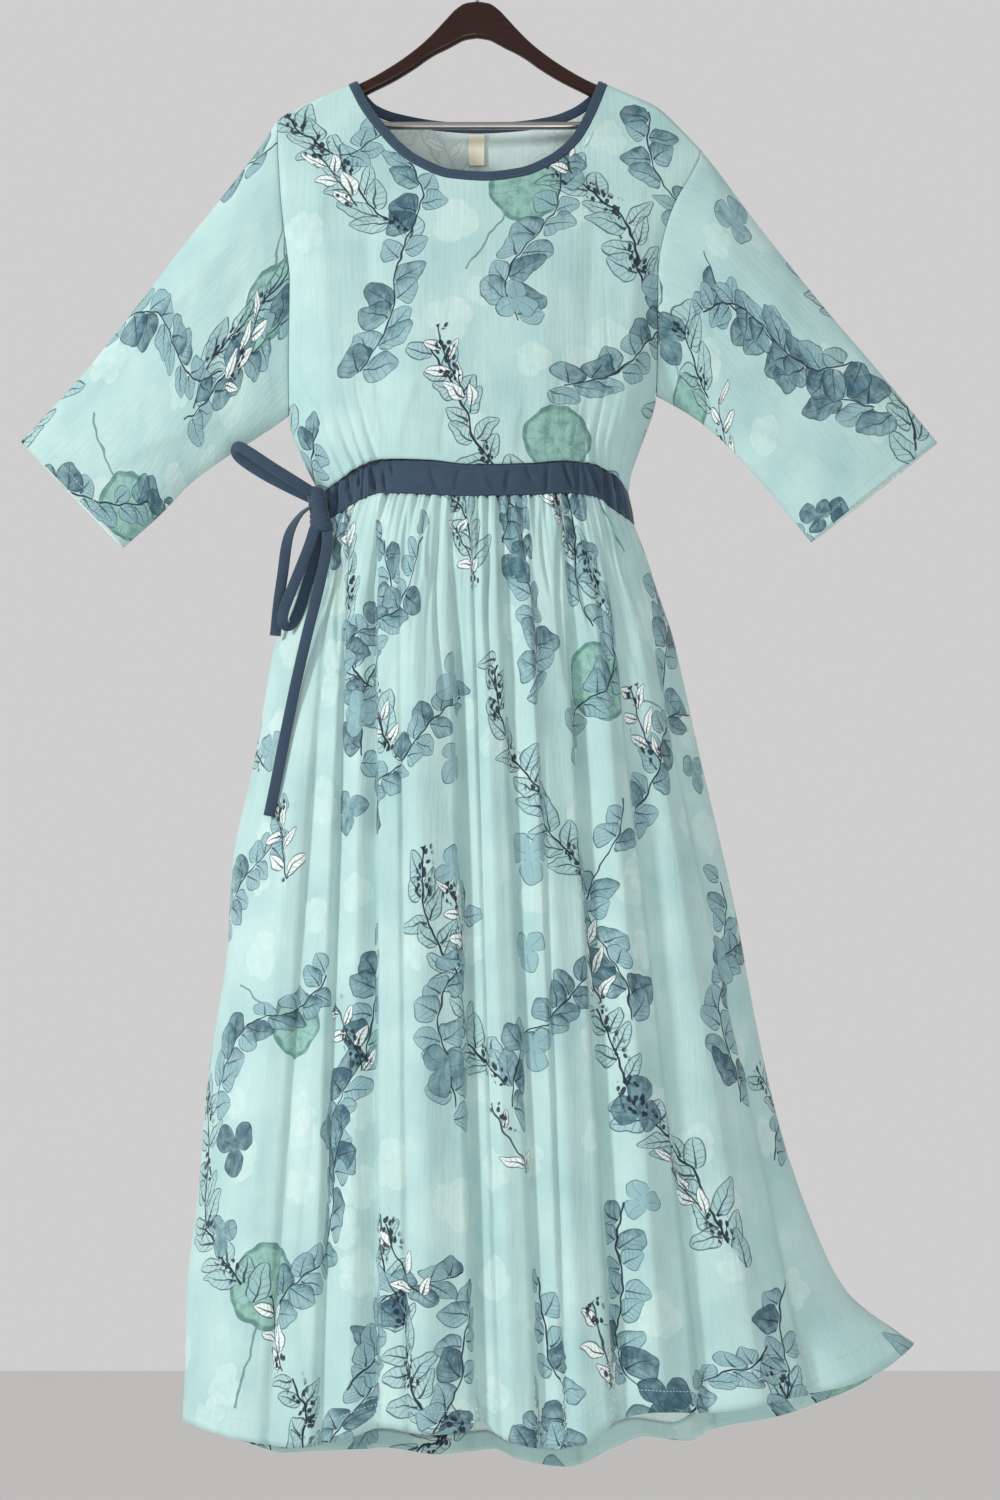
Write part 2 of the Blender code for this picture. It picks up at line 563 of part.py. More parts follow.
def make_casing(side, material, parent):
    """The front or back of the waist casing: a narrow band between bodice and skirt."""
    count, word = gathers_of(side), side_word(side)
    shares = waist_shares(count)
    rise = gather_wave(count) * casing_gathered(shares, side) * free_of_seams(shares)
    deep = (WAIST_FRONT if side == FRONT else WAIST_BACK) + CASING_EASE
    top = smooth(WAIST_SEAMS, "share", word + "_top", shares) + SEAM_GAP / 2
    bottom = smooth(WAIST_SEAMS, "share", word + "_bottom", shares) - SEAM_GAP / 2
    outer, inner = [], []
    for part in (0, 0.5, 1):
        bulge = CASING_BULGE * part * (1 - part)
        left = mix(WAIST_LEFT, HIP_LEFT, part) - bulge
        right = mix(WAIST_RIGHT, HIP_RIGHT, part) + bulge
        drop = mix(top, bottom, part)
        for rows, inset in ((outer, 0), (inner, CLOTH)):
            rows.append(ring_point(shares, left, right, deep + bulge, drop, inset, side, rise))
    for rows in (outer, inner):
        onto_seam(rows[0], word + "_top", WAIST_LEFT, WAIST_RIGHT, SEAM_GAP / 2)
        onto_seam(rows[-1], word + "_bottom", HIP_LEFT, HIP_RIGHT, -SEAM_GAP / 2)
    return wall(f"waist_casing_{word}", outer, inner, material, parent)


def ring_point(shares, left, right, deep, drop, inset, side, rise):
    """Points of half an oval ring, inset into its wall and raised along its own outward direction."""
    half, middle = (right - left) / 2, (left + right) / 2
    turn = np.sqrt(np.maximum(1 - shares**2, 0))
    out = np.stack([deep * shares, half * turn], axis=-1)
    out /= np.linalg.norm(out, axis=-1, keepdims=True)
    x = middle + (half - inset) * shares + rise * out[..., 0]
    y = np.maximum((deep - inset) * turn + rise * out[..., 1], SEAM_GAP / 2)
    return np.stack([x, side * y, -np.broadcast_to(drop, x.shape)], axis=-1)


def make_skirt(side, material, parent):
    """The front or back of the skirt, gathered at the waist and falling in long folds."""
    count, word = gathers_of(side), side_word(side)
    shares, wave = waist_shares(count), gather_wave(count)
    waist_drop = smooth(WAIST_SEAMS, "share", word + "_bottom", shares) + SEAM_GAP / 2
    hem_x = waist_x(shares, SKIRT_SIDES[-1].left, SKIRT_SIDES[-1].right)
    hem_drop = smooth(FRONT_HEM if side == FRONT else BACK_HEM, "across", "drop", hem_x)
    broad_wave = BROAD_WAVE_RISE * np.cos(np.arange(len(shares)) * math.pi / 2 + BROAD_WAVE_START)
    outer, inner = [], []
    for part in SKIRT_ROWS:
        left = float(smooth(SKIRT_SIDES, "part", "left", part))
        right = float(smooth(SKIRT_SIDES, "part", "right", part))
        deep = float(smooth(SKIRT_SIDES, "part", word, part))
        rise = fold_rise(SKIRT_FOLDS[side], waist_x(shares, left, right), part)
        rise = rise + wave * (1 - ramp(*GATHERS_FADE, part))
        rise = rise + broad_wave * ramp(*BROAD_WAVES_GROW, part) * (1 - ramp(*BROAD_WAVES_FADE, part))
        rise = rise * free_of_seams(shares)
        drop = mix(waist_drop, hem_drop, part)
        for rows, inset in ((outer, 0), (inner, CLOTH)):
            rows.append(ring_point(shares, left, right, deep, drop, inset, side, rise))
    for rows in (outer, inner):
        onto_seam(rows[0], word + "_bottom", HIP_LEFT, HIP_RIGHT, SEAM_GAP / 2)
    return wall(f"skirt_{word}", outer, inner, material, parent)


def make_sleeve(hand, material, parent):
    """A wide sleeve as one tube, from the armhole seam to the open cuff."""
    left_hand = hand == "left"
    top = LEFT_ARMHOLE_TOP if left_hand else RIGHT_ARMHOLE_TOP
    underarm = LEFT_UNDERARM if left_hand else RIGHT_UNDERARM
    outward = -1 if left_hand else 1
    down = np.array(ARMHOLE_ROWS)
    levels = np.concatenate([down, down[-2:0:-1]])
    side = np.concatenate([np.full(len(down), FRONT), np.full(len(down) - 2, BACK)])
    shift = CLOTH * np.sign(0.5 - levels) * np.abs(1 - 2 * levels) ** 8
    oval = 2 * np.sqrt(levels * (1 - levels))
    outer, inner = [], []
    for rows, inset in ((outer, 0), (inner, 1)):
        drop = mix(top, underarm, levels) + shift * inset
        across = body_edges(drop)[0 if left_hand else 1]
        in_front = body_section(across, drop, FRONT)[0]
        depth = np.where(side == FRONT, in_front, body_section(across, drop, BACK)[0])
        depth[[0, len(down) - 1]] = 0
        depth = depth * (1 - inset * CLOTH / ARMHOLE_DEPTH)
        rows.append(np.stack([across + outward * SEAM_GAP / 2, side * depth, -drop], axis=1))
    for ring in SLEEVES[hand]:
        upper = np.array([ring.top_across, 0.0, -ring.top_drop])
        lower = np.array([ring.low_across, 0.0, -ring.low_drop])
        along = (lower - upper) / np.linalg.norm(lower - upper)
        for rows, inset in ((outer, 0), (inner, 1)):
            points = upper + (lower - upper) * levels[:, None] + along * (shift * inset)[:, None]
            points[:, 1] = side * oval * (ring.depth - inset * CLOTH)
            rows.append(points)
    return wall(f"sleeve_{hand}", outer, inner, material, parent, tube=True)


def make_binding(material, parent):
    """The neck binding: one ring of bias strip around the opening, over both arms of the hanger."""
    front_order = np.arange(neck_columns(FRONT) + 1)
    back_order = np.arange(neck_columns(BACK) - 1, 0, -1)
    under = CLOTH + BINDING_PROUD
    corners = ((0, -BINDING_PROUD), (1, -BINDING_PROUD), (1, under), (0, under))
    lines = [[] for _ in corners]
    for side, order in ((FRONT, front_order), (BACK, back_order)):
        across, drop, into = neck_line(side, order)
        for line, (inner_edge, inset) in zip(lines, corners):
            x = across + into[:, 0] * BINDING_WIDTH * inner_edge
            low = drop - into[:, 1] * BINDING_WIDTH * inner_edge
            low = np.maximum(low, shoulder_drop(x))
            at_shoulder = (order == 0) | (order == neck_columns(side))
            low = np.where(at_shoulder, shoulder_drop(x), low)
            points = body_point(x, low, inset, side)
            points[at_shoulder, 1] = 0
            line.append(points)
    lines = [np.concatenate(line) for line in lines]
    return wall("neck_binding", lines[:2], [lines[3], lines[2]], material, parent, tube=True)


def make_label(material, parent):
    """A bare label hanging from the binding, just inside the back of the neck."""
    across = np.linspace(LABEL_LEFT, LABEL_RIGHT, LABEL_COLUMNS)
    drops = np.linspace(LABEL_TOP, LABEL_BOTTOM, LABEL_ROWS)
    near, far = CLOTH + SEAM_GAP, CLOTH + SEAM_GAP + LABEL_THICK
    outer = [body_point(across, np.full(LABEL_COLUMNS, drop), near, BACK) for drop in drops]
    inner = [body_point(across, np.full(LABEL_COLUMNS, drop), far, BACK) for drop in drops]
    return wall("neck_label", outer, inner, material, parent)


def strip_line(points, count):
    """A smooth line through a strip's points, as (x, y, z) rows."""
    table = np.array([(p.across, -p.out, -p.drop) for p in points], float)
    along = np.concatenate([[0], np.cumsum(np.linalg.norm(np.diff(table, axis=0), axis=1))])
    ends = np.vstack([2 * table[0] - table[1], table, 2 * table[-1] - table[-2]])
    line = []
    for at in np.linspace(0, along[-1], count):
        i = min(int(np.searchsorted(along, at, side="right")) - 1, len(table) - 2)
        t = (at - along[i]) / (along[i + 1] - along[i])
        before, start, end, after = ends[i : i + 4]
        bend = (2 * before - 5 * start + 4 * end - after) * t**2
        bend = bend + (3 * start - before - 3 * end + after) * t**3
        line.append(start + 0.5 * ((end - before) * t + bend))
    return np.array(line)


def make_strip(name, strip, material, parent):
    """A flat strip of the tie along a line, its face to the front unless it starts turned on edge."""
    line = strip_line(strip.points, strip.rings)
    run = np.gradient(line, axis=0)
    run /= np.linalg.norm(run, axis=1, keepdims=True)
    rings = []
    for i, (centre, ahead) in enumerate(zip(line, run)):
        flat = np.cross(ahead, (0, 1, 0))
        if np.linalg.norm(flat) < 0.3 and i:
            flat = wide
        flat = flat / np.linalg.norm(flat)
        if i and flat @ wide < 0:
            flat = -flat
        wide = flat
        turn = math.radians(strip.turned) * (1 - ramp(0, EDGE_ON_PART, i / (strip.rings - 1)))
        thin = np.cross(ahead, wide)
        thin /= np.linalg.norm(thin)
        across = wide * math.cos(turn) + thin * math.sin(turn)
        through = thin * math.cos(turn) - wide * math.sin(turn)
        half, deep = across * TIE_WIDTH / 2, through * TIE_THICK / 2
        right, left = centre + half, centre - half
        rings.append([right - deep, right + deep, left + deep, left - deep])
    return loft(name, rings, material, parent)


def make_knot(material, parent):
    """The bow's knot, a pinched oval of cloth."""
    angles = np.linspace(0, 2 * math.pi, KNOT_SIDES, endpoint=False)
    rings = []
    for level, width in KNOT_RINGS:
        middle = KNOT_CENTRE.across + KNOT_LEAN * level
        x = middle + KNOT_HALF.across * width * np.cos(angles)
        y = -KNOT_CENTRE.out + KNOT_HALF.out * width * np.sin(angles)
        z = np.full_like(x, -KNOT_CENTRE.drop - KNOT_HALF.drop * level)
        rings.append(np.stack([x, y, z], axis=1))
    return loft("tie_knot", rings, material, parent)


def arm_ring(section, sign):
    """A rounded upright section through the hanger's body."""
    half, middle = ARM_THICK / 2, (section.top + section.bottom) / 2
    high = (section.bottom - section.top) / 2
    rounding = min(ARM_ROUNDING, high * 0.9)
    ring = []
    for quarter, (y_sign, z_sign) in enumerate(((1, 1), (-1, 1), (-1, -1), (1, -1))):
        for step in range(4):
            angle = math.radians(90 * quarter + 30 * step)
            y = y_sign * (half - rounding) + rounding * math.cos(angle)
            z = -middle + z_sign * (high - rounding) + rounding * math.sin(angle)
            ring.append((sign * section.across, y, z))
    return ring


def cut_with(piece, cutter):
    cutter.hide_render = True
    cutter.display_type = "WIRE"
    hole = piece.modifiers.new(cutter.name, "BOOLEAN")
    hole.operation = "DIFFERENCE"
    hole.object = cutter


def cylinder(name, radius, depth, sides, location, turned, parent):
    """A cylinder along Z, or along X if turned, with its centre at a place in millimetres."""
    mesh = bpy.data.meshes.new(name)
    build = bmesh.new()
    bmesh.ops.create_cone(
        build, cap_ends=True, segments=sides, radius1=radius * MM, radius2=radius * MM, depth=depth * MM
    )
    build.to_mesh(mesh)
    build.free()
    mesh.shade_smooth()
    mesh.set_sharp_from_angle(angle=math.radians(40))
    piece = bpy.data.objects.new(name, mesh)
    piece.location = [value * MM for value in location]
    piece.rotation_euler = (0, math.radians(90) if turned else 0, 0)
    piece.parent = parent
    bpy.context.scene.collection.objects.link(piece)
    return piece


def make_hanger(wood, steel, parent):
    """The shaped wooden body with a hole for its hook, and the bar seated in another hole."""
    rings = [arm_ring(section, -1) for section in ARM_SECTIONS[:0:-1]]
    rings += [arm_ring(section, 1) for section in ARM_SECTIONS]
    body = loft("hanger_body", rings, wood, parent)
    bar_hole = 2 * (BAR_HALF_LENGTH + SEAM_GAP)
    cut_with(body, cylinder("bar_hole", BAR_HOLE_RADIUS, bar_hole, 16, (0, 0, -BAR_DROP), True, parent))
    hook_top = ARM_SECTIONS[0].top - 5
    depth = HOOK_SEAT_DROP - hook_top
    centre = -(HOOK_SEAT_DROP + hook_top) / 2
    cut_with(body, cylinder("hook_hole", HOOK_HOLE / 2, depth, 12, (0, 0, centre), False, parent))
    bar = cylinder("trouser_bar", BAR_RADIUS, 2 * BAR_HALF_LENGTH, 16, (0, 0, -BAR_DROP), True, parent)
    bar.data.materials.append(steel)


def make_hook(material, parent):
    """The wire hook: a stem, a short reverse bend and an open circle whose inside top is the origin."""
    middle = -(HOOK_BEND - HOOK_WIRE / 2)
    points = [(place.across, -place.drop) for place in HOOK_STEM]
    for angle in np.radians(np.linspace(HOOK_START, HOOK_END, HOOK_STEPS)):
        points.append((HOOK_BEND * math.cos(angle), middle + HOOK_BEND * math.sin(angle)))
    curve = bpy.data.curves.new("hanger_hook", "CURVE")
    curve.dimensions = "3D"
    curve.bevel_depth = HOOK_WIRE / 2 * MM
    curve.bevel_resolution = 2
    curve.use_fill_caps = True
    spline = curve.splines.new("POLY")
    spline.points.add(len(points) - 1)
    for point, (x, z) in zip(spline.points, points):
        point.co = (x * MM, 0, z * MM, 1)
    curve.materials.append(material)
    hook = bpy.data.objects.new("hanger_hook", curve)
    hook.parent = parent
    bpy.context.scene.collection.objects.link(hook)


def main():
    for old in list(bpy.data.objects):
        bpy.data.objects.remove(old)
    dress = bpy.data.objects.new("dress", None)
    hanger = bpy.data.objects.new("hanger", None)
    for empty in (dress, hanger):
        bpy.context.scene.collection.objects.link(empty)
    for side in (FRONT, BACK):
        word = side_word(side)
        make_bodice(side, look(f"bodice_{word}_cotton", PRINTED_COTTON, 0.85), dress)
        make_casing(side, look(f"casing_{word}_cotton", SLATE_COTTON, 0.8), dress)
        make_skirt(side, look(f"skirt_{word}_cotton", PRINTED_COTTON, 0.85), dress)
    for hand in SLEEVES:
        make_sleeve(hand, look(f"sleeve_{hand}_cotton", PRINTED_COTTON, 0.85), dress)
    make_binding(look("binding_cotton", SLATE_COTTON, 0.8), dress)
    make_label(look("label_ribbon", LABEL_RIBBON, 0.7), dress)
    make_knot(look("knot_cotton", SLATE_COTTON, 0.8), dress)
    for name, strip in TIE_STRIPS.items():
        make_strip(name, strip, look(f"{name}_cotton", SLATE_COTTON, 0.8), dress)
    make_hanger(look("stained_wood", STAINED_WOOD, 0.4), look("bar_steel", STEEL, 0.3, metallic=1.0), hanger)
    make_hook(look("hook_steel", STEEL, 0.3, metallic=1.0), hanger)


main()
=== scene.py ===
"""Looks of a long gathered dress hanging on a dark wooden coat hanger.

Every piece is built on the surfaces that the solids follow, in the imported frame: the origin is
the inside top of the hanger's hook, +Z is up and the dress faces -Y. Sizes are in millimetres
until a mesh is made. A drop is a distance straight down from the origin, across is along X.
"""

from __future__ import annotations

import logging
import math
from dataclasses import dataclass, field
from enum import Enum
from typing import NamedTuple, Sequence

import bpy
import numpy as np
from bpy.types import Material, Mesh, NodeSocket, NodeTree, Object
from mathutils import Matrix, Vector


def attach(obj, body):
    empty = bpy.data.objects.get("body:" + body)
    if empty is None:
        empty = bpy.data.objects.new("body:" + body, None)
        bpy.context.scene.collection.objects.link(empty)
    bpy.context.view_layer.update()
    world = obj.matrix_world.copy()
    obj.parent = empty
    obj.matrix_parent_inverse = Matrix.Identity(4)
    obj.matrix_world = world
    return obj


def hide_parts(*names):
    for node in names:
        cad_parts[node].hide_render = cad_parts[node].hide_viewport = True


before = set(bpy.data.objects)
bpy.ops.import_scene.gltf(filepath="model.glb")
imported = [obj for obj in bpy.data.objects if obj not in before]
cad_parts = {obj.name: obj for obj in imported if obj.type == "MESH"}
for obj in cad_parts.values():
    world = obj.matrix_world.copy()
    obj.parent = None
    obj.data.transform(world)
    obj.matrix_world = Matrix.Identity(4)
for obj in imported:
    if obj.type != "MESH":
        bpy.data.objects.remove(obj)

log = logging.getLogger("dress")

MM = 0.001  # in metres
SEAM_GAP = 0.3  # between pieces that are sewn together
SHARP_ANGLE = math.radians(60)  # past which an edge between faces shows
ROUNDED = 1.6  # how full the section of a fold or crease is
FOLD_GROWS = (-0.02, 0.25)  # parts of the way down, counted from the fold's start
CREASE_GROWS = (-0.15, 0.25)  # parts of the crease's length
CREASE_FADES = (0.7, 1.15)  # parts of the crease's length
CREASE_BOW = 0.04  # sideways bow, as a share of the crease's length
CREASE_STEEP = 0.55  # width of its sharp side, as a share of the crease's width
CREASE_SOFT = 1.6  # width of its soft side, in the same way

Array = np.ndarray
Span = tuple[float, float]
Place3 = tuple[float, float, float]
Colour = tuple[float, float, float, float]


class Side(Enum):
    """The side of the hanger's plane that a panel hangs on."""

    FRONT = -1
    BACK = 1

    @property
    def word(self) -> str:
        """The side's name in lower case."""
        return self.name.lower()


class Hand(Enum):
    """A sleeve, as the viewer sees it."""

    LEFT = -1
    RIGHT = 1

    @property
    def word(self) -> str:
        """The sleeve's name in lower case."""
        return self.name.lower()


class Place(NamedTuple):
    """A point of the pattern seen from the front."""

    across: float
    drop: float


class BodySide(NamedTuple):
    """The bodice's left and right edges at a drop."""

    drop: float
    left: float
    right: float


class BodyDepth(NamedTuple):
    """How far the bodice's middle stands off the hanger's plane at a drop."""

    drop: float
    front: float
    back: float


class WaistSeam(NamedTuple):
    """Drops of the casing's seams at a share of the waist, from -1 to 1."""

    share: float
    front_top: float
    front_bottom: float
    back_top: float
    back_bottom: float


class SkirtSide(NamedTuple):
    """The skirt's outline at a part of its drop."""

    part: float
    left: float
    right: float
    front: float
    back: float


class SleeveRing(NamedTuple):
    """A sleeve's section, from the fold on top to the seam underneath."""

    top_across: float
    top_drop: float
    low_across: float
    low_drop: float
    depth: float


class Fold(NamedTuple):
    """A long soft fold: where it stands, its width, its height, and how far it leans."""

    top: float
    hem: float
    top_width: float
    hem_width: float
    rise: float
    start: float
    lean: float = 0.0


class Crease(NamedTuple):
    """A short crease pressed into a panel between two places."""

    across: float
    drop: float
    to_across: float
    to_drop: float
    width: float
    rise: float


class StripPoint(NamedTuple):
    """A point of the tie; out is measured forwards from the hanger's plane."""

    across: float
    out: float
    drop: float


class KnotLevel(NamedTuple):
    """The knot's width at a level from -1 at its top to 1 at its bottom, as a share of the full one."""

    level: float
    width: float


class ArmSection(NamedTuple):
    """Top and bottom of the hanger's body at a distance from its middle."""

    across: float
    top: float
    bottom: float


def table_of(kind: type, *rows: tuple) -> tuple:
    """A table with one named row for each tuple of values."""
    return tuple(kind(*row) for row in rows)


def by_side(front: object, back: object) -> object:
    """A field with one value for the front and another for the back."""
    return field(default_factory=lambda: {Side.FRONT: front, Side.BACK: back})


def by_hand(left: object, right: object) -> object:
    """A field with one value for each sleeve."""
    return field(default_factory=lambda: {Hand.LEFT: left, Hand.RIGHT: right})


def column(table: Sequence[NamedTuple], name: str) -> Array:
    """One named column of a table as an array."""
    return np.array([getattr(row, name) for row in table], float)


def smooth(table: Sequence[NamedTuple], place: str, value: str, at: Array) -> Array:
    """Reads the value column of a table as a smooth curve over its place column, which rises."""
    return smooth_through(column(table, place), column(table, value), at)


def smooth_through(x: Array, y: Array, at: Array) -> Array:
    """A smooth curve through points that doesn't overshoot between them.

    Args:
        x: Rising places.
        y: The values there.
        at: Where to read the curve.

    Returns:
        The curve's values.
    """
    at = np.clip(np.asarray(at, float), x[0], x[-1])
    step = np.diff(x)
    slope = np.diff(y) / step
    product = slope[1:] * slope[:-1]
    total = np.where(product > 0, slope[1:] + slope[:-1], 1.0)
    bend = np.concatenate([slope[:1], np.where(product > 0, 2 * product / total, 0.0), slope[-1:]])
    i = np.clip(np.searchsorted(x, at, side="right") - 1, 0, len(step) - 1)
    t = (at - x[i]) / step[i]
    rise = y[i] * (1 + 2 * t) * (1 - t) ** 2 + y[i + 1] * t**2 * (3 - 2 * t)
    return rise + step[i] * (bend[i] * t * (1 - t) ** 2 - bend[i + 1] * t**2 * (1 - t))


def ramp(low: float, high: float, at: Array) -> Array:
    """0 below low, 1 above high, and a soft change between them."""
    t = np.clip((np.asarray(at, float) - low) / (high - low), 0, 1)
    return t * t * (3 - 2 * t)


def shown(grow: Span, fade: Span, at: Array) -> Array:
    """1 between two spans, with a soft rise over the first and a soft fall over the second."""
    return ramp(*grow, at) * (1 - ramp(*fade, at))


def mix(a: Array, b: Array, share: Array) -> Array:
    """The value a share of the way from a to b."""
    return a + (b - a) * share


def unit(vectors: Array) -> Array:
    """Vectors of the same directions with a length of 1."""
    return vectors / np.linalg.norm(vectors, axis=-1, keepdims=True)


def turns(count: int) -> Array:
    """Angles evenly spaced once round, in radians."""
    return np.linspace(0, 2 * math.pi, count, endpoint=False)


def lengths_along(points: Array) -> Array:
    """Distances along a row of points from its first one."""
    steps = np.linalg.norm(np.diff(points, axis=0), axis=1)
    return np.concatenate([[0.0], np.cumsum(steps)])


@dataclass
class DressForm:
    """The surfaces that the dress's solids follow, read at any fineness."""

    cloth: float = 2.0
    arm_fold: float = 9.5
    drape_slope: float = 0.22
    armhole_depth: float = 26.0
    neck_left: float = -132.0
    neck_right: float = 134.0
    binding_width: float = 10.0
    shoulder_columns: int = 6
    neck_turn: tuple[float, ...] = (0, 2.5, 6.0, 11.0)
    arm_reach: float = 15.0
    arm_direction: Span = (0.909, 0.416)
    gathers: dict[Side, int] = by_side(32, 26)
    gather_rise: float = 2.3
    casing_flat: float = 0.56
    casing_drawn: float = 0.68
    casing_ease: float = 1.5
    casing_bulge: float = 4.0
    waist: Span = (-157.0, 153.0)
    hip: Span = (-160.0, 159.0)
    waist_depth: dict[Side, float] = by_side(58.0, 55.0)
    armhole_top: dict[Hand, float] = by_hand(186.0, 217.0)
    underarm: dict[Hand, float] = by_hand(494.0, 474.0)
    shoulder: tuple[Place, ...] = table_of(
        Place, (-230, 214), (-204, 186), (-192, 177), (-184, 173), (-154, 158.5), (-132, 148.3),
        (-100, 133.5), (0, 88), (100, 132.5), (134, 148.3), (148, 154.5), (173, 165.5), (184, 171.5),
        (192, 178), (206, 192), (229, 217),
    )
    neck: dict[Side, tuple[Place, ...]] = by_side(
        front=table_of(
            Place, (-132, 148.3), (-118, 178), (-101, 203), (-84, 224), (-62, 242), (-27, 257), (9, 260),
            (46, 255), (78, 240), (103, 217), (120, 186), (134, 148.3),
        ),
        back=table_of(
            Place, (-132, 148.3), (-122, 161), (-108, 174), (-86, 182), (-41, 188.5), (0, 190.5),
            (41, 189), (75, 185.5), (100, 178), (124, 162), (134, 148.3),
        ),
    )
    body_sides: tuple[BodySide, ...] = table_of(
        BodySide, (150, -204, 229), (217, -203, 229), (245, -201, 219), (272, -199, 204), (300, -196, 193),
        (330, -192, 186), (360, -189, 183), (474, -190, 182), (494, -190, 178), (508, -188, 173),
        (535, -178, 163), (556, -168, 156), (577, -157, 153),
    )
    body_depths: tuple[BodyDepth, ...] = table_of(
        BodyDepth, (150, 42, 40), (260, 43, 41), (350, 50, 48), (450, 59, 56), (525, 66, 62),
        (560, 62, 59), (580, 60, 57),
    )
    seams: tuple[WaistSeam, ...] = table_of(
        WaistSeam, (-1, 577, 608, 577, 608), (-0.87, 567, 602, 571, 604), (-0.76, 557, 592, 566, 599),
        (-0.60, 550, 584, 561, 594), (-0.30, 552, 587, 557, 590), (0, 557, 589, 556, 589),
        (0.35, 555, 587, 557, 590), (0.60, 551, 584, 561, 594), (0.76, 552, 586, 565, 598),
        (0.85, 557, 596, 569, 602), (0.93, 563, 602, 572, 604), (1, 575, 607, 575, 607),
    )

    def shoulder_drop(self, across: Array) -> Array:
        """Drop of the line where front and back meet over the hanger."""
        return smooth(self.shoulder, "across", "drop", across)

    def body_edges(self, drop: Array) -> tuple[Array, Array]:
        """The left and right edges of the bodice at a drop."""
        left = smooth(self.body_sides, "drop", "left", drop)
        return left, smooth(self.body_sides, "drop", "right", drop)

    def armhole_at(self, drop: Array, hand: Hand) -> Array:
        """How far an armhole seam stands off the hanger's plane at a drop.

        Args:
            drop: Drops of the places.
            hand: Which sleeve.

        Returns:
            The distances.
        """
        top, low = self.armhole_top[hand], self.underarm[hand]
        part = np.clip((drop - top) / (low - top), 0.5, 1)
        return self.armhole_depth * 2 * np.sqrt(part * (1 - part))

    def body_section(self, across: Array, drop: Array, side: Side) -> tuple[Array, ...]:
        """How the bodice lies at a place.

        Args:
            across: Places along X.
            drop: Their drops.
            side: Front or back.

        Returns:
            The depth, the share that wraps round the side, the place from -1 to 1, the drop below
            the shoulder, and the outward direction's parts along X and away from the hanger.
        """
        below = np.maximum(drop - self.shoulder_drop(across), 0)
        fold = self.arm_fold
        round_part = np.sqrt(np.maximum(below * (2 * fold - below), 0))
        arch = np.where(below < fold, round_part, fold + self.drape_slope * (below - fold))
        left, right = self.body_edges(drop)
        place = np.clip((2 * across - left - right) / (right - left), -1, 1)
        at_left = self.armhole_at(drop, Hand.LEFT)
        at_right = self.armhole_at(drop, Hand.RIGHT)
        edge = mix(at_left, at_right, (1 + place) / 2)
        edge = np.where(np.abs(place) > 0.999, np.where(place < 0, at_left, at_right), edge)
        deepest = smooth(self.body_depths, "drop", side.word, drop)
        lens = np.sqrt(edge**2 + np.maximum(deepest**2 - edge**2, 0) * (1 - place**2))
        arch, lens = np.maximum(arch, 1e-3), np.maximum(lens, 1e-3)
        wraps = 1 - np.minimum(edge / fold, 1)
        lean = place * deepest * wraps
        face = 0.5 * (right - left) * np.sqrt(1 - place**2) + deepest * (1 - wraps)
        size = np.hypot(lean, face)
        return (arch**-4 + lens**-4) ** -0.25, wraps, place, below, lean / size, face / size

    def body_point(self, across: Array, drop: Array, inset: float, side: Side, rise: Array = 0.0) -> Array:
        """Points of the bodice, inset into its wall and raised by folds.

        Args:
            across: Places along X.
            drop: Their drops.
            inset: Distance in from the outer face.
            side: Front or back.
            rise: Height of the folds there.

        Returns:
            The points, in millimetres.
        """
        depth, wraps, place, below, lean, face = self.body_section(across, drop, side)
        x = across - inset * np.sign(place) * np.abs(place) ** 3 * wraps
        y = depth - inset * np.minimum(depth / self.arm_fold, 1)
        z = drop + inset * np.maximum(1 - below / self.arm_fold, 0)
        y = np.maximum(y + rise * face, SEAM_GAP / 2)
        return np.stack([x + rise * lean, side.value * y, -z], axis=-1)

    def waist_shares(self, side: Side) -> Array:
        """Places from -1 to 1 of the gathers' peaks and valleys, evenly spaced round the waist.

        Args:
            side: Front or back.

        Returns:
            The places, from left to right.
        """
        angle = np.linspace(-math.pi / 2, math.pi / 2, 721)
        half, deep = (self.waist[1] - self.waist[0]) / 2, self.waist_depth[Side.FRONT]
        line = np.stack([half * np.sin(angle), deep * np.cos(angle)], axis=1)
        along = lengths_along(line)
        even = np.interp(np.linspace(0, along[-1], 2 * self.gathers[side] + 1), along, angle)
        return np.sin(even)

    def casing_gathered(self, shares: Array, side: Side) -> Array:
        """Where the casing is drawn up: only its side parts in front, and all of it behind.

        Args:
            shares: Places from -1 to 1 across the panel.
            side: Front or back.

        Returns:
            1 where it is drawn up, and 0 where it lies flat.
        """
        if side is Side.BACK:
            return np.ones_like(shares)
        return ramp(self.casing_flat, self.casing_drawn, np.abs(shares))

    def neck_columns(self, side: Side) -> int:
        """The number of the solid's columns along the neck."""
        return self.gathers[side] - 2 * self.shoulder_columns

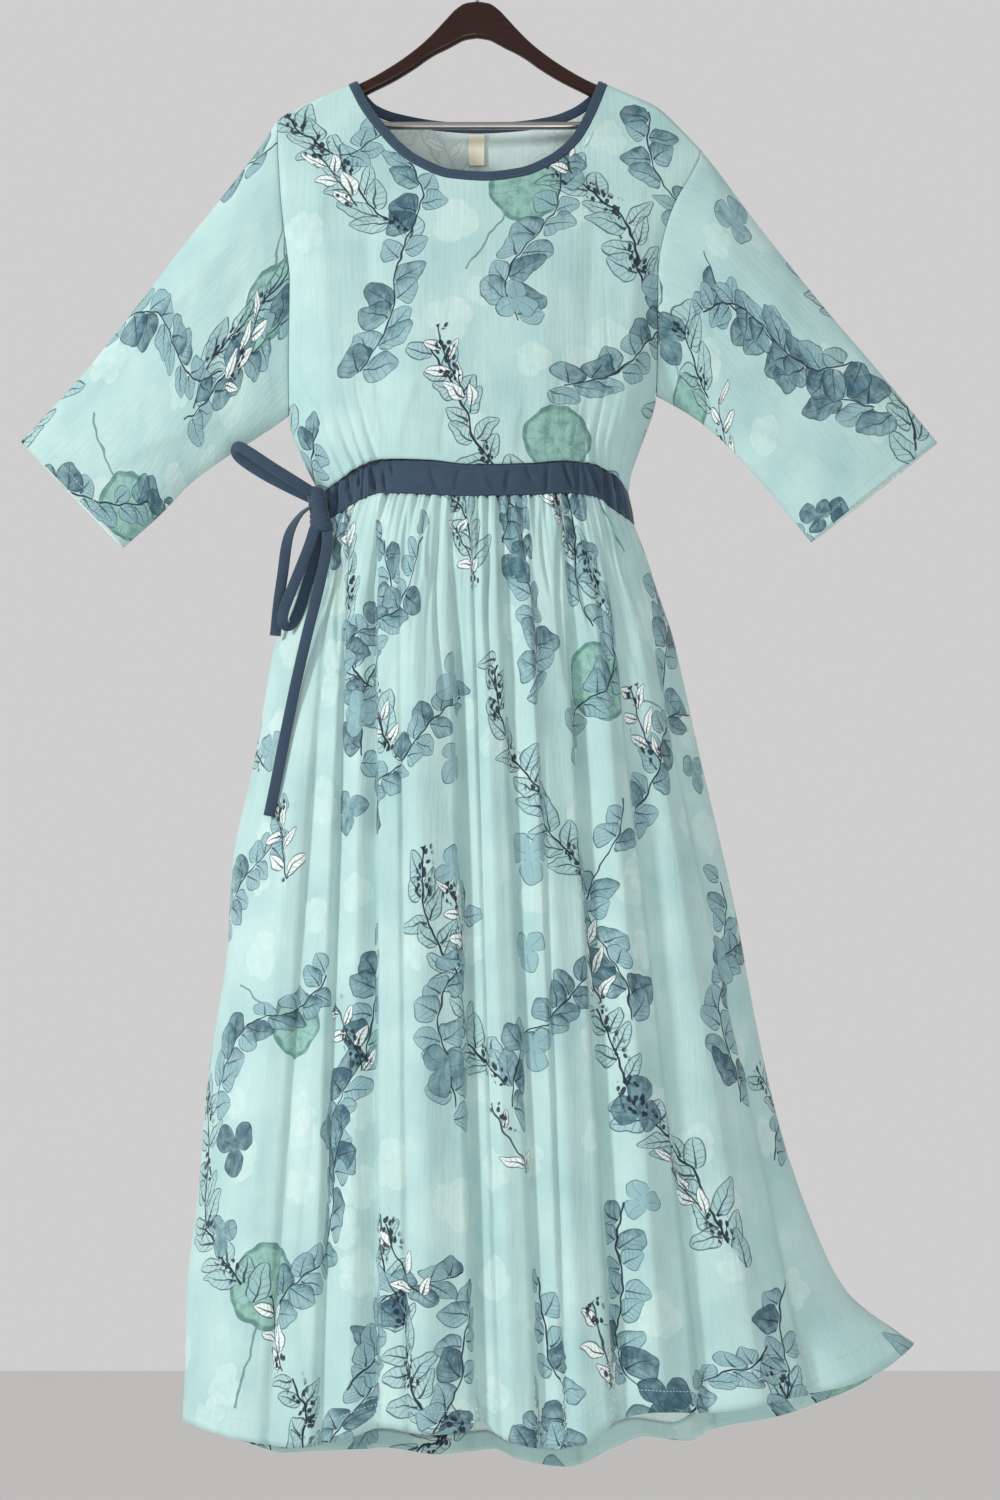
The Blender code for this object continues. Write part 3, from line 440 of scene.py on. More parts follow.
    def neck_line(self, side: Side, places: Array) -> tuple[Array, Array, Array]:
        """Points along the binding's lower edge.

        Args:
            side: Front or back.
            places: Column numbers, close together over the arms of the hanger.

        Returns:
            The places across, their drops and the directions from them into the opening.
        """
        across = np.linspace(self.neck_left, self.neck_right, 801)
        drop = smooth(self.neck[side], "across", "drop", across)
        along = lengths_along(np.stack([across, drop], axis=1))
        turn, length = np.array(self.neck_turn), along[-1]
        even = np.linspace(turn[-1], length - turn[-1], self.neck_columns(side) - 2 * len(turn) + 3)
        stations = np.concatenate([turn[:-1], even, length - turn[-2::-1]])
        at = np.interp(places, np.arange(len(stations)), stations)
        slope = np.interp(at, along, np.gradient(drop, across))
        into = np.stack([slope, np.ones_like(slope)], axis=1)
        left_arm = np.array(self.arm_direction)
        for distance, arm in ((at, left_arm), (length - at, left_arm * (-1, 1))):
            share = np.clip(1 - distance / self.arm_reach, 0, 1)[:, None]
            into = mix(unit(into), arm, share)
        return np.interp(at, along, across), np.interp(at, along, drop), unit(into)

    def bodice_top(self, side: Side, places: Array) -> tuple[Array, Array]:
        """The bodice's top edge at column numbers, as places across and drops.

        Args:
            side: Front or back.
            places: The column numbers.

        Returns:
            The places across and their drops.
        """
        last = self.gathers[side]
        across, drop, into = self.neck_line(side, places - self.shoulder_columns)
        across = across - SEAM_GAP * into[:, 0]
        drop = drop + SEAM_GAP * into[:, 1]
        left_end = self.body_edges(self.armhole_top[Hand.LEFT])[0] + SEAM_GAP / 2
        right_end = self.body_edges(self.armhole_top[Hand.RIGHT])[1] - SEAM_GAP / 2
        on_left, on_right = places <= self.shoulder_columns, places >= last - self.shoulder_columns
        to_neck = places / self.shoulder_columns
        from_neck = (places - last + self.shoulder_columns) / self.shoulder_columns
        across = np.where(on_left, mix(left_end, across[0], to_neck), across)
        across = np.where(on_right, mix(across[-1], right_end, from_neck), across)
        return across, np.where(on_left | on_right, self.shoulder_drop(across), drop)

    def ring_point(
        self, shares: Array, left: float, right: float, deep: float, drop: Array,
        inset: float, side: Side, rise: Array,
    ) -> Array:
        """Points of half an oval ring, inset into its wall and raised along its outward direction.

        Args:
            shares: Places from -1 to 1 across the ring.
            left: The ring's left end.
            right: Its right end.
            deep: How far its middle stands off the hanger's plane.
            drop: The points' drops.
            inset: Distance in from the outer face.
            side: Front or back.
            rise: Height of the folds there.

        Returns:
            The points, in millimetres.
        """
        half, middle = (right - left) / 2, (left + right) / 2
        turn = np.sqrt(np.maximum(1 - shares**2, 0))
        out = unit(np.stack([deep * shares, half * turn], axis=-1))
        x = middle + (half - inset) * shares + rise * out[..., 0]
        y = np.maximum((deep - inset) * turn + rise * out[..., 1], SEAM_GAP / 2)
        return np.stack([x, side.value * y, -np.broadcast_to(drop, x.shape)], axis=-1)

    def seam(self, side: Side, edge: str, shares: Array) -> Array:
        """Drops of the casing's top or bottom seam at shares of the waist."""
        return smooth(self.seams, "share", f"{side.word}_{edge}", shares)

    def onto_seam(self, points: Array, side: Side, edge: str, ends: Span, shift: float) -> None:
        """Puts a row of points on a waist seam, wherever its folds have moved it."""
        share = (2 * points[:, 0] - ends[0] - ends[1]) / (ends[1] - ends[0])
        points[:, 2] = -self.seam(side, edge, share) - shift

    def round_waist(self, side: Side, fineness: int) -> tuple[Array, Array]:
        """A panel's columns, in gathers from its left side, and their places from -1 to 1.

        Args:
            side: Front or back.
            fineness: Columns for each gather.

        Returns:
            The columns and their places.
        """
        count = self.gathers[side]
        places = np.linspace(0, count, fineness * count + 1)
        return places, np.interp(2 * places, np.arange(2 * count + 1), self.waist_shares(side))


@dataclass
class Gathers:
    """The gathers of one panel: rounded ridges with pinched valleys, each with its own length."""

    count: int
    rise: float
    shortest: float
    longest: float
    seed: int
    swell: float = 0.0
    swell_length: float = 70.0
    fine_pace: float = 2.4
    fine_reach: float = 0.35
    fine_rise: float = 0.42
    ridge: float = 0.85
    valley: float = -1.15
    heights: Span = (0.1, 1.5)
    shortness: float = 2.8
    shifted: float = 0.42
    pinch: float = 1.5
    fading: float = 1.4

    def height(self, halves: Array, distance: Array) -> Array:
        """Height of the gathers at numbers of half gathers along the seam.

        Args:
            halves: Places in half gathers, from 0 to twice the count.
            distance: Distances from the seam, in millimetres.

        Returns:
            The heights there.
        """
        draw = np.random.default_rng(self.seed)
        distance = np.maximum(distance, 0)
        coarse = self._wave(halves, distance, 2 * self.count + 1, draw, 1.0)
        fine = self._wave(self.fine_pace * halves, distance, 5 * self.count + 1, draw, self.fine_reach)
        grown = 1 + self.swell * ramp(0, self.swell_length, distance)
        return self.rise * (coarse * grown + self.fine_rise * fine)

    def _wave(
        self, halves: Array, distance: Array, total: int, draw: np.random.Generator, reach: float
    ) -> Array:
        """One set of ridges and valleys with its own uneven spacing, heights and lengths.

        Args:
            halves: Places in half ridges.
            distance: Distances from the seam.
            total: How many ridges and valleys there are.
            draw: The random draws.
            reach: Their length, as a share of the full one.

        Returns:
            The heights, as shares of the gathers' rise.
        """
        i = np.arange(total)
        peaks = np.where(i % 2 == 1, self.ridge, self.valley) * draw.uniform(*self.heights, total)
        peaks[[0, -1]] = 0
        long = draw.random(total) ** self.shortness
        lengths = reach * mix(self.shortest, self.longest, long)
        shift = draw.uniform(-self.shifted, self.shifted, total)
        shift[[0, 1, -2, -1]] = 0
        at = np.interp(halves, i + shift, i)
        low = np.clip(np.floor(at).astype(int), 0, total - 2)
        near = at - low
        pinched = np.where(low % 2 == 1, near**self.pinch, 1 - (1 - near) ** self.pinch)
        share = 0.5 - 0.5 * np.cos(np.pi * pinched)
        peak, length = mix(peaks[low], peaks[low + 1], share), mix(lengths[low], lengths[low + 1], share)
        return peak * np.exp(-((distance / length) ** self.fading))


def fold_rise(folds: Sequence[Fold], across: Array, part: Array) -> Array:
    """Height of a panel's long soft folds.

    Args:
        folds: The panel's folds.
        across: Places along X.
        part: Parts of the way down the panel.

    Returns:
        The heights there.
    """
    rise = np.zeros_like(across)
    for fold in folds:
        centre = mix(fold.top, fold.hem, part)
        width = mix(fold.top_width, fold.hem_width, part)
        side = np.where(across > centre, 1 - fold.lean, 1 + fold.lean)
        grown = ramp(fold.start + FOLD_GROWS[0], fold.start + FOLD_GROWS[1], part)
        away = np.abs(across - centre) / (width * side)
        rise = rise + fold.rise * grown * np.exp(-(away**ROUNDED))
    return rise


def crease_rise(creases: Sequence[Crease], across: Array, drop: Array) -> Array:
    """Height of a panel's short creases, each fading out at its ends.

    Args:
        creases: The panel's creases.
        across: Places along X.
        drop: Their drops.

    Returns:
        The heights there.
    """
    rise = np.zeros_like(across)
    for crease in creases:
        run = np.array([crease.to_across - crease.across, crease.to_drop - crease.drop])
        length = np.linalg.norm(run)
        ahead = run / length
        dx, dz = across - crease.across, drop - crease.drop
        along = (dx * ahead[0] + dz * ahead[1]) / length
        off = dx * ahead[1] - dz * ahead[0] + CREASE_BOW * length * np.sin(3 * along)
        ends = shown(CREASE_GROWS, CREASE_FADES, along)
        width = crease.width * np.where(off * crease.rise > 0, CREASE_STEEP, CREASE_SOFT)
        rise = rise + crease.rise * ends * np.exp(-(np.abs(off / width) ** ROUNDED))
    return rise


def seam_line(points: Array, row: int, lift: float = 0.25) -> Array:
    """One row of a grid of points, lifted off the cloth's face.

    Args:
        points: The grid of outer points.
        row: Which row.
        lift: How far it is lifted.

    Returns:
        The lifted row.
    """
    across = np.gradient(points, axis=1)[row]
    down = np.gradient(points, axis=0)[row]
    out = unit(np.cross(down, across))
    away = (out * (points[row] - points.mean(axis=(0, 1)))).sum()
    return points[row] + lift * out * (1 if away > 0 else -1)


@dataclass
class Shell:
    """A thin cloth shell over a grid of outer points, with a right and a wrong side."""

    name: str
    points: Array
    cloth_map: Array
    right: Material
    wrong: Material
    thickness: float = 1.2
    tube: bool = False

    def build(self) -> Object:
        """Makes the shell's mesh, with its cloth map in metres, and links it.

        Returns:
            The shell.
        """
        rows, columns = self.points.shape[:2]
        spaces = columns if self.tube else columns - 1
        number = np.arange(rows * columns).reshape(rows, columns)
        if self.tube:
            number = np.concatenate([number, number[:, :1]], axis=1)
        number = number[:, : spaces + 1]
        first, last = slice(0, -1), slice(1, None)
        corners = ((first, first), (last, first), (last, last), (first, last))
        corners = corners if self._faces_out(number) else corners[::-1]
        quads = np.stack([number[at] for at in corners], axis=-1).reshape(-1, 4)
        mesh = bpy.data.meshes.new(self.name)
        mesh.from_pydata((self.points.reshape(-1, 3) * MM).tolist(), [], quads.tolist())
        corner = np.stack([self.cloth_map[at] for at in corners], axis=2).reshape(-1, 2)
        write_cloth_map(mesh, corner)
        mesh.materials.append(self.right)
        mesh.materials.append(self.wrong)
        mesh.shade_smooth()
        return self._thickened(mesh)

    def _faces_out(self, number: Array) -> bool:
        """Whether faces taken in the grid's own order would point away from its middle.

        Args:
            number: Numbers of the grid's points.

        Returns:
            Whether they would.
        """
        points = self.points.reshape(-1, 3)
        down = points[number[1:, :-1]] - points[number[:-1, :-1]]
        across = points[number[:-1, 1:]] - points[number[:-1, :-1]]
        outward = points[number[:-1, :-1]] - points.mean(axis=0)
        return float((np.cross(down, across) * outward).sum()) > 0

    def _thickened(self, mesh: Mesh) -> Object:
        """Gives the sheet its wrong side and its edges, as a plain mesh.

        Args:
            mesh: The sheet's mesh.

        Returns:
            The shell.
        """
        sheet = link(bpy.data.objects.new(self.name, mesh))
        solid = sheet.modifiers.new("cloth", "SOLIDIFY")
        solid.thickness = self.thickness * MM
        solid.offset = -1.0
        solid.material_offset = 1
        return applied(sheet)


def write_cloth_map(mesh: Mesh, places: Array) -> None:
    """Stores a place on the cloth for each corner of a mesh, in metres."""
    mesh.uv_layers.new(name="cloth").data.foreach_set("uv", (places * MM).ravel().astype(np.float32))


def link(piece: Object) -> Object:
    """Puts a new object in the scene."""
    bpy.context.scene.collection.objects.link(piece)
    return piece


def applied(piece: Object) -> Object:
    """Turns an object's modifiers into plain mesh.

    Args:
        piece: The object.

    Returns:
        The same object, holding its evaluated mesh and no modifier.
    """
    evaluated = piece.evaluated_get(bpy.context.evaluated_depsgraph_get())
    mesh = bpy.data.meshes.new_from_object(evaluated)
    mesh.name = piece.name
    piece.modifiers.clear()
    old, piece.data = piece.data, mesh
    bpy.data.meshes.remove(old)
    return piece


def rings_mesh(name: str, rings: Array, material: Material, closed: bool = False) -> Object:
    """A smooth piece through closed rings of points in millimetres.

    Args:
        name: The piece's name.
        rings: Points by ring and by place round it.
        material: Its material.
        closed: Whether the last ring joins the first, or both are filled.

    Returns:
        The linked object, with a map of the run along and round it.
    """
    count, around = rings.shape[:2]
    number = np.arange(count * around).reshape(count, around)
    upper = number if closed else number[:-1]
    lower = np.roll(number, -1, axis=0) if closed else number[1:]
    quads = np.stack([upper, lower, np.roll(lower, -1, axis=1), np.roll(upper, -1, axis=1)], axis=-1)
    faces = quads.reshape(-1, 4).tolist()
    if not closed:
        faces += [number[0].tolist(), number[-1][::-1].tolist()]
    mesh = bpy.data.meshes.new(name)
    mesh.from_pydata((rings.reshape(-1, 3) * MM).tolist(), [], faces)
    centres = rings.mean(axis=1)
    along = lengths_along(np.concatenate([centres, centres[:1]]) if closed else centres)
    round_it = lengths_along(np.concatenate([rings[0], rings[0][:1]]))
    corners = np.empty((len(along) - 1, around, 4, 2))
    corners[..., 0] = np.stack([round_it[:-1], round_it[:-1], round_it[1:], round_it[1:]], axis=-1)
    corners[..., 1] = np.stack([along[:-1], along[1:], along[1:], along[:-1]], axis=-1)[:, None]
    cloth_map = np.zeros((len(mesh.loops), 2))
    cloth_map[: corners.size // 2] = corners.reshape(-1, 2)
    write_cloth_map(mesh, cloth_map)
    mesh.materials.append(material)
    mesh.shade_smooth()
    mesh.set_sharp_from_angle(angle=SHARP_ANGLE)
    piece = link(bpy.data.objects.new(name, mesh))
    turn_outwards(mesh)
    return piece


def turn_outwards(mesh: Mesh) -> None:
    """Turns a closed mesh's faces outwards if they point in.

    Args:
        mesh: The mesh.
    """
    mesh.calc_loop_triangles()
    points = np.empty(len(mesh.vertices) * 3)
    mesh.vertices.foreach_get("co", points)
    corners = np.empty(len(mesh.loop_triangles) * 3, np.int32)
    mesh.loop_triangles.foreach_get("vertices", corners)
    a, b, c = points.reshape(-1, 3)[corners.reshape(-1, 3)].transpose(1, 0, 2)
    if np.einsum("ij,ij->i", a, np.cross(b, c)).sum() < 0:
        mesh.flip_normals()


def flat_ring(centre: Array, across: Array, through: Array, steps: int) -> Array:
    """A closed ring with flat faces and rounded edges.

    Args:
        centre: The middle of the ring.
        across: Half its width, as a vector.
        through: Half its thickness, as a vector.
        steps: Points on each rounded edge.

    Returns:
        The ring's points.
    """
    thin = np.linalg.norm(through)
    wide = np.linalg.norm(across)
    inner = across * (1 - thin / wide)
    ring = []
    for sign, start in ((1, -90), (-1, 90)):
        for angle in np.radians(np.linspace(start, start + 180, steps)):
            edge = across / wide * thin * math.cos(angle) + through * math.sin(angle)
            ring.append(centre + sign * inner + edge)
    return np.array(ring)


class Signal:
    """A number that flows through a shader's nodes, with the usual arithmetic."""

    def __init__(self, tree: NodeTree, socket: NodeSocket) -> None:
        """Wraps an output socket of a tree."""
        self.tree = tree
        self.socket = socket

    def math(self, operation: str, *others: "Signal | float", clamp: bool = False) -> "Signal":
        """A Math node on this number and others.

        Args:
            operation: The node's operation.
            others: Its further inputs.
            clamp: Whether the result is held between 0 and 1.

        Returns:
            The node's result.
        """
        node = self.tree.nodes.new("ShaderNodeMath")
        node.operation = operation
        node.use_clamp = clamp
        for slot, value in zip(node.inputs, (self, *others)):
            plug(self.tree, value, slot)
        return Signal(self.tree, node.outputs[0])

    def __add__(self, other: "Signal | float") -> "Signal":
        """Sum."""
        return self.math("ADD", other)

    def __sub__(self, other: "Signal | float") -> "Signal":
        """Difference."""
        return self.math("SUBTRACT", other)

    def __rsub__(self, other: float) -> "Signal":
        """Difference from a number."""
        return self.math("MULTIPLY_ADD", -1.0, other)

    def __mul__(self, other: "Signal | float") -> "Signal":
        """Product."""
        return self.math("MULTIPLY", other)

    def __truediv__(self, other: "Signal | float") -> "Signal":
        """Quotient."""
        return self.math("DIVIDE", other)

    __radd__ = __add__
    __rmul__ = __mul__

    def below(self, edge: "Signal | float", soft: float) -> "Signal":
        """1 where this number is under an edge, 0 above it, with a soft change.

        Args:
            edge: The edge.
            soft: Half the width of the change.

        Returns:
            The result.
        """
        node = self.tree.nodes.new("ShaderNodeMapRange")
        node.interpolation_type = "SMOOTHSTEP"
        plug(self.tree, self - edge, node.inputs["Value"])
        for name, value in (("From Min", -soft), ("From Max", soft), ("To Min", 1.0), ("To Max", 0.0)):
            node.inputs[name].default_value = value
        return Signal(self.tree, node.outputs["Result"])

    def above(self, edge: "Signal | float", soft: float) -> "Signal":
        """1 where this number is over an edge, 0 under it, with a soft change."""
        return 1.0 - self.below(edge, soft)

    def inside(self, edge: "Signal | float", soft: float) -> "Signal":
        """1 where this number's size is under an edge."""
        return self.math("ABSOLUTE").below(edge, soft)


def plug(tree: NodeTree, value: object, slot: NodeSocket) -> None:
    """Links a signal or a socket into an input, or sets a plain value on it.

    Args:
        tree: The node tree.
        value: A signal, a socket or a plain value.
        slot: The input.
    """
    if isinstance(value, Signal):
        value = value.socket
    if isinstance(value, NodeSocket):
        tree.links.new(value, slot)
    else:
        slot.default_value = value


@dataclass
class ShaderSketch:
    """Short names for the shader nodes that the finishes are drawn with."""

    tree: NodeTree

    def node(
        self, kind: str, output: str | int = 0, settings: dict | None = None, **inputs: object
    ) -> NodeSocket:
        """A node with its settings and inputs.

        Args:
            kind: The node's type, without its ShaderNode prefix.
            output: Which output to return.
            settings: The node's own properties.
            inputs: Its inputs by name, with spaces as underscores.

        Returns:
            The output's socket.
        """
        made = self.tree.nodes.new("ShaderNode" + kind)
        for name, value in (settings or {}).items():
            setattr(made, name, value)
        for name, value in inputs.items():
            plug(self.tree, value, made.inputs[name.replace("_", " ")])
        return made.outputs[output]

    def number(self, socket: NodeSocket) -> Signal:
        """A socket as a number for arithmetic."""
        return Signal(self.tree, socket)

    def parts(self, vector: object) -> tuple[Signal, Signal]:
        """The first two parts of a vector.

        Args:
            vector: The vector.

        Returns:
            Its parts along X and Y.
        """
        made = self.tree.nodes.new("ShaderNodeSeparateXYZ")
        plug(self.tree, vector, made.inputs[0])
        return Signal(self.tree, made.outputs[0]), Signal(self.tree, made.outputs[1])

    def pair(self, x: Signal, y: Signal) -> NodeSocket:
        """A vector from two numbers."""
        return self.node("CombineXYZ", X=x, Y=y)

    def vector(self, operation: str, first: object, other: object) -> NodeSocket:
        """A Vector Math node on two vectors, or on a vector and the number that scales it.

        Args:
            operation: The node's operation.
            first: A vector.
            other: A vector or a scale.

        Returns:
            The resulting vector.
        """
        made = self.tree.nodes.new("ShaderNodeVectorMath")
        made.operation = operation
        plug(self.tree, first, made.inputs[0])
        plug(self.tree, other, made.inputs["Scale" if operation == "SCALE" else 1])
        return made.outputs[0]

    def noise(self, vector: object, scale: float, detail: float, output: str = "Fac") -> object:
        """Smooth noise in the plane, as a number or a colour.

        Args:
            vector: Where it is read.
            scale: Its scale.
            detail: Its detail.
            output: Which output.

        Returns:
            The noise.
        """
        plane = {"noise_dimensions": "2D"}
        made = self.node("TexNoise", output, plane, Vector=vector, Scale=scale, Detail=detail)
        return Signal(self.tree, made) if output == "Fac" else made

    def bump(self, height: Signal, strength: float, distance: float = 0.0012) -> NodeSocket:
        """A bump of this height, whose full depth is in metres."""
        return self.node("Bump", Strength=strength, Distance=distance, Height=height)

    def surface(self, **inputs: object) -> None:
        """Links or sets inputs of the surface shader, by name with spaces as underscores.

        Args:
            inputs: Values, signals or sockets.
        """
        shader = self.tree.nodes["Principled BSDF"]
        for name, value in inputs.items():
            plug(self.tree, value, shader.inputs[name.replace("_", " ")])

    def blend(self, share: object, under: object, over: object, kind: str = "MIX") -> NodeSocket:
        """One colour over another.

        Args:
            share: How much of the upper colour shows.
            under: The lower colour.
            over: The upper colour.
            kind: The blend mode.

        Returns:
            The blended colour.
        """
        made = self.tree.nodes.new("ShaderNodeMix")
        made.data_type = "RGBA"
        made.blend_type = kind
        plug(self.tree, share, made.inputs[0])
        plug(self.tree, under, made.inputs[6])
        plug(self.tree, over, made.inputs[7])
        return made.outputs[2]


def shade(red: int, green: int, blue: int) -> Colour:
    """A colour as a screen shows it, turned into the linear values that shaders take.

    Args:
        red: Its red, from 0 to 255.
        green: Its green.
        blue: Its blue.

    Returns:
        The opaque linear colour.
    """
    shares = (red / 255, green / 255, blue / 255)
    linear = [c / 12.92 if c <= 0.04045 else ((c + 0.055) / 1.055) ** 2.4 for c in shares]
    return (*linear, 1.0)


def crumple(across: Array, drop: Array, seed: int, rise: float) -> Array:
    """The small unevenness of washed cotton, longer down the cloth than across it.

    Args:
        across: Places across the cloth.
        drop: Places down it.
        seed: Which pattern of unevenness.
        rise: Its height.

    Returns:
        The heights there.
    """
    total, cells = np.zeros_like(across), 64
    for wide, tall, share in ((62.0, 150.0, 1.0), (27.0, 80.0, 0.5), (12.0, 42.0, 0.28)):
        lattice = np.random.default_rng(seed).uniform(-1, 1, (cells, cells))
        i, j = np.floor(across / wide).astype(int), np.floor(drop / tall).astype(int)
        s, t = ramp(0, 1, across / wide - i), ramp(0, 1, drop / tall - j)
        near, far = (
            mix(lattice[i % cells, row % cells], lattice[(i + 1) % cells, row % cells], s)
            for row in (j, j + 1)
        )
        total = total + share * mix(near, far, t)
        seed += 1
    return rise * total


def row_lengths(points: Array) -> Array:
    """Distances along each row of a grid, measured across and away from the hanger's plane."""
    steps = np.hypot(np.diff(points[..., 0], axis=1), np.diff(points[..., 1], axis=1))
    return np.concatenate([np.zeros((len(points), 1)), np.cumsum(steps, axis=1)], axis=1)


def tame_seams(shares: Array) -> Array:
    """1 over a panel, and 0 at its side seams."""
    return 1 - np.abs(shares) ** 8


@dataclass
class Bodice:
    """The front and back of the bodice, from the shoulders and the neck to the waist casing."""

    form: DressForm
    fineness: dict[Side, int] = by_side(8, 10)
    armhole_rows: int = 88
    side_rows: int = 24
    armhole_dip: float = 1.3
    dip_width: float = 4.5
    dip_grows: Span = (0.02, 0.1)
    folds_grow: Span = (0.08, 0.3)
    folds_fade: Span = (0.9, 1.0)
    creases_fade: Span = (0.96, 1.0)
    crumple_grows: Span = (0.03, 0.15)
    crumple_fades: Span = (0.88, 1.0)
    crumple_rise: float = 0.9
    crumple_start: float = 300.0
    crumple_seed: int = 11
    gather_lengths: Span = (18.0, 120.0)
    gather_seed: int = 5
    folds: dict[Side, tuple[Fold, ...]] = by_side(
        front=table_of(
            Fold, (-168, -140, 16, 13, 3, 0.1, 0.3), (-120, -98, 17, 14, -3, 0.1, 0.2),
            (-70, -62, 22, 18, 2.5, 0.35), (74, 66, 22, 18, 2.5, 0.35), (128, 104, 17, 14, -3, 0.1, -0.2),
            (176, 143, 14, 12, 4, 0.1, -0.3),
        ),
        back=table_of(
            Fold, (-150, -118, 20, 15, 3.5, 0.1, 0.3), (-80, -52, 24, 18, -3, 0.2),
            (-10, -6, 26, 20, 3, 0.25, 0.2), (84, 50, 24, 18, -3, 0.2), (158, 118, 20, 15, 3.5, 0.1, -0.3),
        ),
    )
    creases: dict[Side, tuple[Crease, ...]] = by_side(
        front=table_of(
            Crease, (168, 395, 164, 480, 5, 2.2), (-176, 470, -128, 540, 8, 2),
            (-184, 440, -150, 505, 6, -1.8), (172, 470, 128, 535, 8, 2), (150, 300, 176, 372, 9, 1.6),
            (-150, 270, -182, 372, 10, 1.8), (-60, 470, -78, 545, 7, 1.7), (-30, 500, -34, 550, 6, -1.4),
            (44, 492, 36, 550, 7, 1.5), (84, 470, 70, 545, 6, -1.5), (-104, 455, -92, 540, 6, 1.7),
            (10, 505, 4, 552, 6, 1.2), (110, 480, 98, 548, 6, 1.6), (-96, 250, -120, 330, 12, 1.4),
            (104, 250, 134, 330, 12, 1.4),
        ),
        back=table_of(
            Crease, (-176, 470, -128, 545, 8, 2), (170, 470, 126, 540, 8, 2), (-90, 450, -70, 545, 8, 1.8),
            (30, 440, 24, 545, 8, -1.7), (84, 460, 74, 545, 7, 1.7), (-30, 470, -26, 548, 6, 1.5),
        ),
    )

    def panel(self, side: Side) -> tuple[Array, Array]:
        """The outer points of the front or back, and its cloth map.

        Args:
            side: Front or back.

        Returns:
            The points and the map, by row and column.
        """
        form, columns = self.form, self.form.gathers[side]
        places, even = form.round_waist(side, self.fineness[side])
        down = (1 - np.cos(np.linspace(0, math.pi, self.armhole_rows))) / 2
        side_part = np.linspace(0, 1, self.side_rows + 1)[1:]
        drops, parts = [], []
        for hand in Hand:
            top, underarm = form.armhole_top[hand], form.underarm[hand]
            low = float(form.seam(side, "top", hand.value)) - SEAM_GAP / 2
            edge = np.concatenate([mix(top, underarm, down), mix(underarm, low, side_part)])[:, None]
            drops.append(edge)
            parts.append((edge - top) / (low - top))
        left, right = form.body_edges(drops[0])[0], form.body_edges(drops[1])[1]
        top_x, top_drop = form.bodice_top(side, places)
        top_share = (top_x - top_x[0]) / (top_x[-1] - top_x[0])
        low_drop = form.seam(side, "top", even) - SEAM_GAP / 2
        part = mix(*parts, places / columns)
        drop = mix(top_drop, low_drop, part)
        share = mix(top_share, (1 + even) / 2, part)
        across = mix(left + SEAM_GAP / 2, right - SEAM_GAP / 2, share)
        middle = 1 - np.abs(2 * share - 1) ** 6
        folded = shown(self.folds_grow, self.folds_fade, part) * middle
        creased = (1 - ramp(*self.creases_fade, part)) * middle
        rise = fold_rise(self.folds[side], across, part) * folded
        rise = rise + crease_rise(self.creases[side], across, drop) * creased
        loose = shown(self.crumple_grows, self.crumple_fades, part) * middle
        uneven = crumple(across + self.crumple_start, drop, self.crumple_seed + side.value, self.crumple_rise)
        rise = rise + uneven * loose
        gathers = Gathers(columns, form.gather_rise, *self.gather_lengths, self.gather_seed + side.value)
        drawn = form.casing_gathered(even, side) * tame_seams(even)
        rise = rise + gathers.height(2 * places + 0 * part, low_drop - drop) * drawn
        in_armhole = np.where(np.arange(len(drop)) < self.armhole_rows, 1.0, 0.0)[:, None]
        to_seam = np.minimum(across - left, right - across)
        dip = self.armhole_dip * np.exp(-((to_seam / self.dip_width) ** 2)) * ramp(*self.dip_grows, part)
        points = form.body_point(across, drop, 0, side, rise - dip * in_armhole)
        form.onto_seam(points[-1], side, "top", form.waist, -SEAM_GAP / 2)
        along = row_lengths(points)
        centre = np.array([np.interp(0, row[:, 0], length) for row, length in zip(points, along)])
        return points, np.stack([along - centre[:, None], points[..., 2]], axis=-1)


